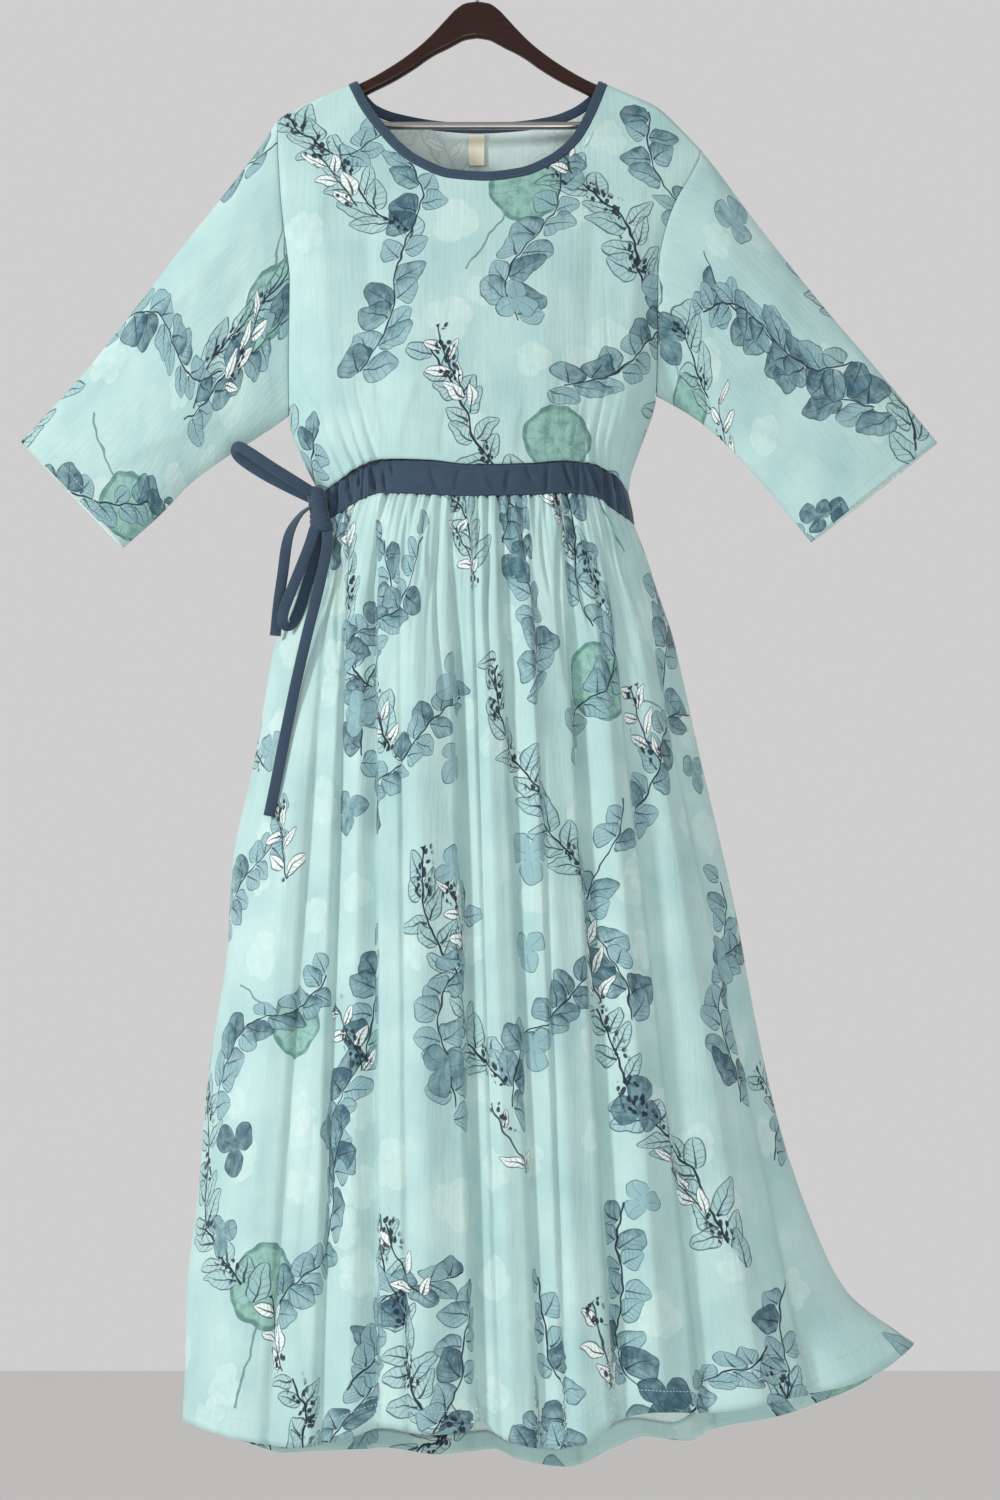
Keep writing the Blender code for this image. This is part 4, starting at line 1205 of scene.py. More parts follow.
@dataclass
class Skirt:
    """The front and back of the skirt, gathered at the waist and falling in long uneven folds."""

    form: DressForm
    fineness: dict[Side, int] = by_side(10, 12)
    hem_band: float = 18.0
    length: float = 920.0
    band_inset: float = 1.6
    band_rows: int = 6
    band_thickness: float = 0.9
    spread: float = 0.5
    hidden_cloth: float = 2.2
    hidden_width: float = 0.35
    gathered_rows: int = 25
    gathered_part: float = 0.1
    long_rows: int = 120
    gather_rise: float = 1.1
    gather_lengths: Span = (26.0, 190.0)
    gather_swell: float = 0.3
    gather_seed: int = 21
    broad_rise: float = 0.7
    broad_start: float = 0.7
    broad_grows: Span = (0.02, 0.12)
    broad_fades: Span = (0.2, 0.5)
    crumple_grows: Span = (0.01, 0.1)
    crumple_rise: float = 0.8
    crumple_start: float = 400.0
    crumple_seed: int = 31
    sides: tuple[SkirtSide, ...] = table_of(
        SkirtSide, (0.00, -160, 159, 60, 57), (0.04, -174, 171, 64, 61), (0.08, -184, 181, 68, 65),
        (0.14, -203, 197, 75, 73), (0.20, -212, 208, 80, 79), (0.27, -222, 220, 85, 85),
        (0.39, -243, 242, 92, 93), (0.47, -246, 256, 97, 98), (0.63, -265, 279, 105, 107),
        (0.75, -273, 301, 111, 113), (0.88, -284, 338, 116, 118), (0.94, -284, 364, 118, 120),
        (1.00, -286, 428, 119, 121),
    )
    hems: dict[Side, tuple[Place, ...]] = by_side(
        front=table_of(
            Place, (-286, 1493), (-228, 1505), (-174, 1512), (-130, 1505), (-84, 1491), (-42, 1496),
            (-8, 1495), (4, 1485), (26, 1501), (70, 1510), (108, 1504), (133, 1485), (174, 1476),
            (219, 1478), (293, 1466), (347, 1457), (388, 1443), (428, 1419),
        ),
        back=table_of(
            Place, (-286, 1493), (-240, 1516), (-187, 1532), (-96, 1529), (-40, 1537), (16, 1531),
            (43, 1543), (90, 1549), (141, 1529), (171, 1519), (214, 1523), (242, 1509), (302, 1497),
            (340, 1483), (386, 1461), (428, 1419),
        ),
    )
    folds: dict[Side, tuple[Fold, ...]] = by_side(
        front=table_of(
            Fold, (-150, -232, 12, 24, 7.8, 0.1, 0.25), (-128, -150, 6.4, 11.2, -10.4, 0.03, -0.7),
            (-112, -118, 7, 14, 5.2, 0.04), (-100, -92, 6.4, 9.9, -11.7, 0, 0.7),
            (-62, -42, 26, 30, 13, 0, 0.2), (-27, 2, 8, 12.4, -14, 0, -0.8), (4, 34, 9, 16, 6.5, 0.03),
            (20, 62, 7.2, 11.8, -10.4, 0, -0.75), (48, 96, 14, 22, 9.1, 0.05, 0.25),
            (84, 134, 8, 13, -14, 0.04, -0.75), (112, 176, 13, 20, 9.1, 0.05, 0.3),
            (122, 216, 7.2, 11.2, -9.1, 0.05, -0.7), (140, 268, 12, 22, 9.1, 0.08, 0.3),
            (149, 322, 6.4, 13.6, -10.4, 0.1, -0.7), (-142, -200, 4.8, 8.7, -6.5, 0.1, -0.6),
            (52, 86, 4, 6.2, -6.5, 0, -0.6), (-6, 24, 3.2, 4.3, -5.2, 0, -0.5),
            (-76, -62, 4, 5, -3.9, 0.05, -0.5),
        ),
        back=table_of(
            Fold, (-138, -222, 9.6, 13.6, -7, 0.08, -0.5), (-112, -168, 13, 24, 8, 0.06, 0.3),
            (-84, -112, 7.2, 11.2, -9, 0.02, 0.5), (-46, -52, 18, 28, 10, 0.04, 0.25),
            (-14, -4, 7.2, 9.9, -9, 0.02, -0.5), (22, 44, 16, 24, 9, 0.06, -0.2),
            (56, 108, 7.2, 11.2, -10, 0.03, -0.5), (88, 168, 14, 20, 8, 0.06, 0.2),
            (116, 216, 8, 15, 9, 0.3), (124, 244, 6.4, 11.2, -8, 0.06, -0.5),
            (144, 318, 10, 24, 7, 0.1, 0.2),
        ),
    )
    creases: dict[Side, tuple[Crease, ...]] = by_side(
        front=table_of(
            Crease, (126, 640, 160, 760, 4.5, -3.2), (166, 630, 196, 730, 5, -3),
            (196, 730, 224, 900, 7, -2.4), (-140, 640, -152, 790, 5, -2.6), (-118, 700, -126, 860, 5, 2.2),
            (34, 650, 40, 800, 6, -2.6), (176, 900, 190, 1120, 8, -2.8), (-210, 900, -236, 1180, 9, -2.4),
            (-60, 780, -50, 1040, 8, -1.6), (230, 1050, 300, 1360, 11, 2.6), (60, 900, 76, 1200, 9, 2),
            (-12, 640, -6, 780, 4, 2), (-122, 612, -134, 720, 2.2, -3.6), (-90, 606, -96, 700, 2.2, -3),
            (64, 606, 74, 690, 2.2, -3.4), (96, 606, 112, 720, 2.2, -3.6), (-46, 604, -48, 680, 2.2, 2.4),
            (-100, 640, -101, 740, 2.4, -5), (-34, 596, -30, 800, 2.6, -4.6),
            (13, 640, 16, 770, 2.4, -4.4), (27, 612, 31, 700, 2.2, -4), (84, 600, 90, 775, 2.6, -5),
            (92, 612, 97, 680, 2.2, -3.6), (120, 655, 144, 840, 2.8, -5), (150, 655, 184, 760, 2.6, -4.4),
            (-132, 640, -136, 750, 2.4, -4.4), (-119, 640, -122, 700, 2.2, -3.4), (2, 602, 3, 650, 2, -3),
            (44, 602, 49, 660, 2.2, -3.4), (-68, 602, -70, 665, 2.2, -3.2),
            (-146, 606, -156, 690, 2.4, -3.8), (138, 610, 156, 690, 2.4, -3.8),
            (-150, 1180, -160, 1470, 9, -2.4), (120, 1250, 150, 1470, 9, -2.6),
            (250, 1300, 330, 1440, 10, -2.6), (-250, 1250, -262, 1480, 9, 2.2),
        ),
        back=table_of(
            Crease, (-120, 640, -150, 820, 6, -3), (-20, 640, -16, 830, 6, -2.6),
            (70, 640, 96, 830, 6, 2.6), (130, 650, 180, 860, 7, -2.8), (-190, 900, -230, 1200, 10, 2.4),
            (200, 950, 270, 1300, 11, 2.4),
        ),
    )

    def levels(self) -> Array:
        """Parts of the way down, closer together in the gathers."""
        gathered = np.arange(self.gathered_rows) * self.gathered_part / self.gathered_rows
        return np.concatenate([gathered, np.linspace(self.gathered_part, 1, self.long_rows)])

    def ease(self, across: Array, part: Array, side: Side) -> Array:
        """Cloth hidden in the valleys to the left of a place.

        Args:
            across: Places along X.
            part: Part of the way down.
            side: Front or back.

        Returns:
            Widths of the hidden cloth.
        """
        hidden = np.zeros_like(across)
        for fold in self.folds[side]:
            if fold.rise < 0:
                centre = mix(fold.top, fold.hem, part)
                width = mix(fold.top_width, fold.hem_width, part) * self.hidden_width
                hidden = hidden - fold.rise * self.hidden_cloth * ramp(-1, 1, (across - centre) / width)
        return hidden

    def panel(self, side: Side, inset: float = 0.0, only: Array | None = None) -> tuple[Array, ...]:
        """The points of the front or back, and its cloth map.

        Args:
            side: Front or back.
            inset: Distance in from the outer face.
            only: Parts of the way down, or none for the whole panel.

        Returns:
            The points and the map.
        """
        form, columns = self.form, self.form.gathers[side]
        places, shares = form.round_waist(side, self.fineness[side])
        waist_drop = form.seam(side, "bottom", shares) + SEAM_GAP / 2
        hem_drop = smooth(self.hems[side], "across", "drop", self.across(1.0, shares))
        broad = self.broad_rise * np.cos(places * math.pi + self.broad_start)
        gathers = Gathers(
            columns, form.gather_rise * self.gather_rise, *self.gather_lengths,
            self.gather_seed + side.value, self.gather_swell,
        )
        seed = self.crumple_seed + side.value
        hem_total = row_lengths(self._ring(1.0, shares, hem_drop, side)[None])[0, -1]
        points, cloth_map = [], []
        for part in self.levels() if only is None else only:
            drop = mix(waist_drop, hem_drop, part)
            across = self.across(part, shares)
            rise = fold_rise(self.folds[side], across, part)
            rise = rise + gathers.height(2 * places, drop - waist_drop)
            rise = rise + broad * shown(self.broad_grows, self.broad_fades, part)
            rise = rise + crease_rise(self.creases[side], across, drop)
            uneven = crumple(across + self.crumple_start, drop, seed, self.crumple_rise)
            rise = rise + uneven * ramp(*self.crumple_grows, part)
            points.append(self._ring(part, shares, drop, side, inset, rise * tame_seams(shares)))
            plain = self._ring(part, shares, drop, side)
            along = row_lengths(plain[None])[0]
            wider = 1 + self.spread * (hem_total / along[-1] - 1)
            from_middle = (along - np.interp(0, plain[:, 0], along)) * wider
            cloth_map.append(np.stack([from_middle + self.ease(across, part, side), -drop], axis=-1))
        if only is None:
            form.onto_seam(points[0], side, "bottom", form.hip, SEAM_GAP / 2)
        return np.array(points), np.array(cloth_map)

    def band(self, side: Side) -> tuple[Array, ...]:
        """The turned-up band inside the hem, and its cloth map.

        Args:
            side: Front or back.

        Returns:
            The points and the map, by row and column.
        """
        levels = np.linspace(1 - self.hem_band / self.length, 1, self.band_rows)
        points, cloth_map = self.panel(side, self.band_inset, levels)
        return points, cloth_map * (1, -1)

    def ends(self, part: float) -> list[float]:
        """The skirt's left and right ends at a part of the way down."""
        return [float(smooth(self.sides, "part", name, part)) for name in ("left", "right")]

    def across(self, part: float, shares: Array) -> Array:
        """Places along X of shares of the skirt's width at a part of the way down."""
        left, right = self.ends(part)
        return (left + right) / 2 + (right - left) / 2 * shares

    def _ring(
        self, part: float, shares: Array, drop: Array, side: Side, inset: float = 0.0,
        rise: Array | float = 0.0,
    ) -> Array:
        """One row of the skirt.

        Args:
            part: Part of the way down.
            shares: Places from -1 to 1 across the panel.
            drop: Drops of the places.
            side: Front or back.
            inset: Distance in from the outer face.
            rise: Height of the folds there.

        Returns:
            The row's points.
        """
        deep = float(smooth(self.sides, "part", side.word, part))
        rise = rise * np.ones_like(shares)
        return self.form.ring_point(shares, *self.ends(part), deep, drop, inset, side, rise)


@dataclass
class Casing:
    """The waist casing: a narrow dark band, flat in the middle of the front and drawn up elsewhere."""

    form: DressForm
    rows: int = 17
    height: float = 36.0
    half_width: float = 155.0
    gather_length: float = 60.0
    gather_share: float = 0.55
    middle_share: float = 0.3
    fineness: dict[Side, int] = by_side(12, 14)
    creases: dict[Side, tuple[Crease, ...]] = by_side(
        front=table_of(
            Crease, (-149, 2, -141, 34, 1.9, -3.8), (-138, -2, -134, 30, 1.5, -3.2),
            (-127, 2, -119, 36, 2, -4.8), (-116, -4, -112, 24, 1.5, -3.4), (-104, -2, -95, 38, 2.2, -5.1),
            (-90, 12, -85, 40, 1.7, -3.2), (-84, -4, -80, 16, 1.7, -2.8), (-44, 6, -36, 32, 3.4, -2),
            (-14, 4, -20, 30, 2.9, -1.5), (8, 12, 16, 30, 2.5, 1.3), (34, 6, 29, 32, 2.9, -2.2),
            (50, -2, 56, 22, 2.5, -1.8), (72, 2, 68, 38, 1.9, -3), (87, -4, 94, 34, 2, -4.8),
            (103, 2, 101, 40, 1.5, -3.8), (112, -4, 120, 32, 1.9, -4.4), (129, 4, 126, 38, 1.7, -3.8),
            (139, -2, 146, 36, 1.9, -4.2),
        ),
        back=table_of(
            Crease, (-132, 0, -126, 36, 1.9, -4), (-104, -4, -110, 30, 1.9, -3.8),
            (-78, 4, -72, 38, 2, -4.4), (-52, -2, -56, 28, 1.9, -3), (-24, 2, -18, 36, 2, -3.5),
            (6, -4, 2, 26, 1.7, -2.6), (30, 2, 38, 36, 2.2, -3.9), (62, -2, 58, 34, 1.9, -3.3),
            (90, 4, 97, 38, 2, -4.4), (122, -2, 118, 32, 1.9, -3.8),
        ),
    )

    def panel(self, side: Side) -> tuple[Array, Array]:
        """The outer points of the front or back of the casing, and its cloth map.

        Args:
            side: Front or back.

        Returns:
            The points and the map, by row and column.
        """
        form, columns = self.form, self.form.gathers[side]
        places, shares = form.round_waist(side, self.fineness[side])
        gathers = Gathers(columns, form.gather_rise, self.gather_length, self.gather_length, 1)
        wave = gathers.height(2 * places, 0 * places)
        wave = wave * form.casing_gathered(shares, side) * tame_seams(shares)
        deep = form.waist_depth[side] + form.casing_ease
        top = form.seam(side, "top", shares) + SEAM_GAP / 2
        bottom = form.seam(side, "bottom", shares) - SEAM_GAP / 2
        points = []
        for part in np.linspace(0, 1, self.rows):
            bulge = form.casing_bulge * part * (1 - part)
            left = mix(form.waist[0], form.hip[0], part) - bulge
            right = mix(form.waist[1], form.hip[1], part) + bulge
            middle = math.sin(math.pi * part)
            below = np.full_like(shares, self.height * part)
            lines = crease_rise(self.creases[side], self.half_width * shares, below)
            rise = wave * (self.gather_share + self.middle_share * middle) + lines * math.sqrt(middle)
            drop = mix(top, bottom, part)
            points.append(form.ring_point(shares, left, right, deep + bulge, drop, 0, side, rise))
        form.onto_seam(points[0], side, "top", form.waist, SEAM_GAP / 2)
        form.onto_seam(points[-1], side, "bottom", form.hip, -SEAM_GAP / 2)
        points = np.array(points)
        return points, np.stack([row_lengths(points), points[..., 2]], axis=-1)


@dataclass
class Sleeve:
    """A wide sleeve as one tube, from the armhole seam to the open cuff."""

    form: DressForm
    hand: Hand
    levels: int = 48
    step: float = 4.0
    crumple_rise: float = 1.4
    crumple_start: float = 600.0
    crumple_apart: float = 90.0
    crumple_seed: int = 51
    shaped_from: float = 30.0
    seam_dip: float = 1.3
    dip_width: float = 4.5
    rings: dict[Hand, tuple[SleeveRing, ...]] = by_hand(
        left=table_of(
            SleeveRing, (-222, 214, -206, 506, 26), (-250, 253, -230, 522, 25), (-299, 317, -262, 543, 23),
            (-345, 380, -289, 564, 21), (-400, 452, -318, 595, 19), (-461, 521, -356, 630, 17),
        ),
        right=table_of(
            SleeveRing, (247, 240, 197, 482, 26), (276, 281, 217, 494, 25), (315, 333, 243, 515, 23),
            (358, 388, 271, 544, 21), (410, 451, 302, 580, 19), (466, 522, 337, 624, 17),
        ),
    )
    creases: dict[Hand, tuple[Crease, ...]] = by_hand(
        left=table_of(
            Crease, (-216, 470, -330, 440, 10, 3), (-212, 430, -300, 375, 12, -2.6),
            (-225, 300, -330, 420, 16, 2.2), (-250, 500, -380, 560, 9, 2.4),
            (-300, 400, -420, 520, 14, -2), (-238, 360, -262, 470, 10, -2),
        ),
        right=table_of(
            Crease, (206, 460, 320, 430, 10, 3), (214, 420, 300, 370, 12, -2.6),
            (240, 300, 345, 420, 16, 2.2), (240, 490, 380, 560, 9, 2.4), (300, 400, 420, 520, 14, -2),
            (230, 350, 252, 450, 10, -2),
        ),
    )

    def armhole(self, levels: Array, sides: Array) -> Array:
        """The sleeve's first ring, against the armhole seam.

        Args:
            levels: Places from 0 on top to 1 underneath.
            sides: -1 in front and 1 behind.

        Returns:
            The ring's points.
        """
        form = self.form
        drop = mix(form.armhole_top[self.hand], form.underarm[self.hand], levels)
        across = form.body_edges(drop)[0 if self.hand is Hand.LEFT else 1]
        front = form.body_section(across, drop, Side.FRONT)[0]
        back = form.body_section(across, drop, Side.BACK)[0]
        depth = np.where(sides < 0, front, back) * np.where((levels <= 0) | (levels >= 1), 0, 1)
        return np.stack([across + self.hand.value * SEAM_GAP / 2, sides * depth, -drop], axis=-1)

    def tube(self) -> tuple[Array, Array]:
        """The sleeve's outer points and its cloth map, whose second number runs along the sleeve.

        Returns:
            The points and the map, by ring and by place round it.
        """
        turn = turns(2 * self.levels)
        levels = (1 - np.cos(turn)) / 2
        sides = np.where(turn < math.pi, -1.0, 1.0)
        seam = self.armhole(levels, sides)
        table = self.rings[self.hand]
        middle = np.array([[(r.top_across + r.low_across) / 2, (r.top_drop + r.low_drop) / 2] for r in table])
        first = np.array([seam[:, 0].mean(), -(seam[0, 2] + seam[self.levels, 2]) / 2])
        stations = lengths_along(np.concatenate([first[None], middle]))
        rows, cloth_map = [], []
        for at in np.linspace(0, stations[-1], int(stations[-1] / self.step)):
            ring = SleeveRing(*(
                float(smooth_through(stations[1:], column(table, name), at)) for name in SleeveRing._fields
            ))
            upper = np.array([ring.top_across, 0.0, -ring.top_drop])
            lower = np.array([ring.low_across, 0.0, -ring.low_drop])
            points = upper + (lower - upper) * levels[:, None]
            oval = 2 * np.sqrt(levels * (1 - levels))
            rise = crease_rise(self.creases[self.hand], points[:, 0], -points[:, 2])
            start = points[:, 0] + self.crumple_start + self.crumple_apart * sides
            seed = self.crumple_seed + self.hand.value
            rise = rise + crumple(start, -points[:, 2], seed, self.crumple_rise)
            rise = rise * ramp(0.15, 0.7, oval) * ramp(0, self.shaped_from, at)
            points[:, 1] = sides * (oval * ring.depth + rise)
            near = 1 - ramp(0, 1, min(at / stations[1], 1))
            points = mix(points, seam, near if at < stations[1] else 0.0)
            dip = self.seam_dip * math.exp(-((at / self.dip_width) ** 2))
            points[:, 1] -= sides * dip * ramp(0.2, 0.8, oval)
            rows.append(points)
            round_it = lengths_along(np.concatenate([points, points[:1]]))
            from_middle = round_it - round_it[self.levels // 2]
            cloth_map.append(np.stack([from_middle, np.full_like(from_middle, -at)], axis=-1))
        return np.array(rows), np.array(cloth_map)


@dataclass
class Binding:
    """The neck binding: one round-edged strip of bias cloth, over both arms of the hanger."""

    form: DressForm
    fineness: int = 7
    profile_points: int = 20
    proud: float = 0.5
    stitch_lift: float = 0.2

    def rings(self) -> Array:
        """Rings of the strip's rounded section, once round the neck.

        Returns:
            Points by ring and by place round it.
        """
        form = self.form
        turn = turns(self.profile_points)
        edge = 0.5 + 0.5 * np.sign(np.cos(turn)) * np.abs(np.cos(turn)) ** 0.4
        half = (form.cloth + 2 * self.proud) / 2
        inset = form.cloth / 2 + half * np.sign(np.sin(turn)) * np.abs(np.sin(turn)) ** 0.6
        rings = []
        for side in (Side.FRONT, Side.BACK):
            last = form.neck_columns(side)
            places = np.linspace(0, last, last * self.fineness + 1)
            places = places if side is Side.FRONT else places[-2:0:-1]
            across, drop, into = form.neck_line(side, places)
            at_end = (places <= 0) | (places >= last)
            lines = []
            for e, i in zip(edge, inset):
                x = across + into[:, 0] * form.binding_width * e
                low = drop - into[:, 1] * form.binding_width * e
                low = np.where(at_end, form.shoulder_drop(x), np.maximum(low, form.shoulder_drop(x)))
                points = form.body_point(x, low, i, side)
                points[at_end, 1] = 0
                lines.append(points)
            rings.append(np.stack(lines, axis=1))
        return np.concatenate(rings)

    def stitch_line(self) -> Array:
        """The line of the stitches, near the strip's lower edge on its outer face.

        Returns:
            The closed line's points.
        """
        rings = self.rings()
        inner, outer, stitched = 5, 15, 14  # points of the section
        line = rings[:, stitched] + self.stitch_lift * unit(rings[:, outer] - rings[:, inner])
        return np.concatenate([line, line[:1]])


@dataclass
class Label:
    """A bare ribbon label inside the back of the neck."""

    form: DressForm
    left: float = -9.0
    right: float = 8.0
    top: float = 192.0
    bottom: float = 224.0
    inset: float = 2.6
    bow: float = 0.25
    thickness: float = 0.6
    columns: int = 15
    rows: int = 24

    def panel(self) -> tuple[Array, Array]:
        """The label's points, slightly bowed, and its cloth map.

        Returns:
            The points and the map, by row and column.
        """
        levels = np.linspace(self.top, self.bottom, self.rows)
        across, drop = np.meshgrid(np.linspace(self.left, self.right, self.columns), levels)
        place = (2 * across - self.left - self.right) / (self.right - self.left)
        points = self.form.body_point(across, drop, self.inset - self.bow * (1 - place**2), Side.BACK)
        return points, np.stack([across, -drop], axis=-1)


@dataclass
class TieStrip:
    """One strip of the tie: how far it starts turned on its edge, and its centre points."""

    turned: float
    far_end: str
    points: tuple[StripPoint, ...]
    width: float = 11.0
    thickness: float = 2.2
    edge_on_part: float = 0.45
    count: int = 110
    edge_steps: int = 5
    level_limit: float = 0.3
    follow: float = 0.35

    def line(self) -> Array:
        """A smooth line through the strip's centre points.

        Returns:
            The line's points.
        """
        table = np.array([(p.across, -p.out, -p.drop) for p in self.points], float)
        along = lengths_along(table)
        ends = np.vstack([2 * table[0] - table[1], table, 2 * table[-1] - table[-2]])
        at = np.linspace(0, along[-1], self.count)
        i = np.clip(np.searchsorted(along, at, side="right") - 1, 0, len(table) - 2)
        t = ((at - along[i]) / (along[i + 1] - along[i]))[:, None]
        before, start, end, after = (ends[i + k] for k in range(4))
        bend = (2 * before - 5 * start + 4 * end - after) * t**2
        bend = bend + (3 * start - before - 3 * end + after) * t**3
        return start + 0.5 * ((end - before) * t + bend)

    def rings(self) -> tuple[Array, Array]:
        """The strip's rings, its face to the front unless it is turned, and their centres.

        Returns:
            The rings and their centres.
        """
        line = self.line()
        run = unit(np.gradient(line, axis=0))
        rings, wide = [], None
        for i, (centre, ahead) in enumerate(zip(line, run)):
            flat = np.cross(ahead, (0, 1, 0))
            if np.linalg.norm(flat) < self.level_limit and i:
                flat = wide
            flat = unit(flat)
            if i and flat @ wide < 0:
                flat = -flat
            wide = flat if wide is None else unit(mix(wide, flat, self.follow))
            turn = math.radians(self.turned) * (1 - ramp(0, self.edge_on_part, i / (self.count - 1)))
            thin = unit(np.cross(ahead, wide))
            across = wide * math.cos(turn) + thin * math.sin(turn)
            through = thin * math.cos(turn) - wide * math.sin(turn)
            wide_half, thin_half = across * self.width / 2, through * self.thickness / 2
            rings.append(flat_ring(centre, wide_half, thin_half, self.edge_steps))
        rings = np.array(rings)
        return rings, rings.mean(axis=1)


@dataclass
class Bow:
    """The side tie: a knot, two loops and two free ends."""

    strips: dict[str, TieStrip] = field(default_factory=lambda: {
        "tie_loop_upper": TieStrip(0, "object", table_of(
            StripPoint, (-165, 38, 580), (-180, 42, 571), (-204, 43, 556), (-226, 41, 541),
            (-238, 38, 534), (-241, 34, 537), (-236, 31, 545), (-214, 31, 560), (-190, 31, 573),
            (-166, 30, 584.5),
        )),
        "tie_loop_lower": TieStrip(0, "object", table_of(
            StripPoint, (-161, 38.5, 617.5), (-167, 41.5, 638), (-179, 44, 670), (-190, 43, 699),
            (-192, 40, 712), (-186, 36, 715.5), (-178, 35, 704), (-168, 36, 672), (-160, 35, 642),
            (-157, 33, 617.5),
        )),
        "tie_tail_short": TieStrip(70, "bare", table_of(
            StripPoint, (-165, 33, 594), (-175, 34, 602), (-184, 34, 616), (-189, 33, 632),
            (-193, 31, 662), (-197, 30, 692), (-200, 29, 724),
        )),
        "tie_tail_long": TieStrip(0, "bare", table_of(
            StripPoint, (-149, 36.3, 617.5), (-148, 43.5, 632), (-150, 49, 650), (-157, 54, 686),
            (-166, 56, 724), (-177, 56, 774), (-187, 55, 824), (-196, 55, 872), (-203, 54, 907),
        )),
    })
    knot_centre: StripPoint = StripPoint(-157.5, 33.5, 597)
    knot_half: StripPoint = StripPoint(11, 8, 23)
    knot_lean: float = 4.0
    wrap_rise: float = 0.11
    wrap_turns: float = 4.2
    wrap_slant: float = 2.6
    wrap_round: float = 0.6
    knot_levels: tuple[KnotLevel, ...] = table_of(
        KnotLevel, (-1, 0.35), (-0.95, 0.62), (-0.8, 0.8), (-0.4, 0.86), (0, 0.8), (0.45, 0.94), (0.85, 1.04),
        (0.97, 0.98), (1, 0.8),
    )

    def knot_rings(self, steps: int = 60, around: int = 56) -> Array:
        """Rings of the knot, ridged where its cloth is wrapped round.

        Args:
            steps: How many rings.
            around: Points on each ring.

        Returns:
            Points by ring and by place round it.
        """
        angle = turns(around)
        rings = []
        for level in -np.cos(np.linspace(0, math.pi, steps)):
            width = float(smooth(self.knot_levels, "level", "width", level))
            slant = self.wrap_turns * math.pi * level + self.wrap_slant * np.cos(angle)
            wrap = np.abs(np.sin(slant)) ** self.wrap_round - self.wrap_round
            wrap = self.wrap_rise * wrap * (1 - level**4)
            reach = width * (1 + wrap)
            middle = self.knot_centre.across + self.knot_lean * level
            x = middle + self.knot_half.across * reach * np.cos(angle)
            y = -self.knot_centre.out + self.knot_half.out * reach * np.sin(angle)
            z = np.full_like(x, -self.knot_centre.drop - self.knot_half.drop * level)
            rings.append(np.stack([x, y, z], axis=1))
        return np.array(rings)


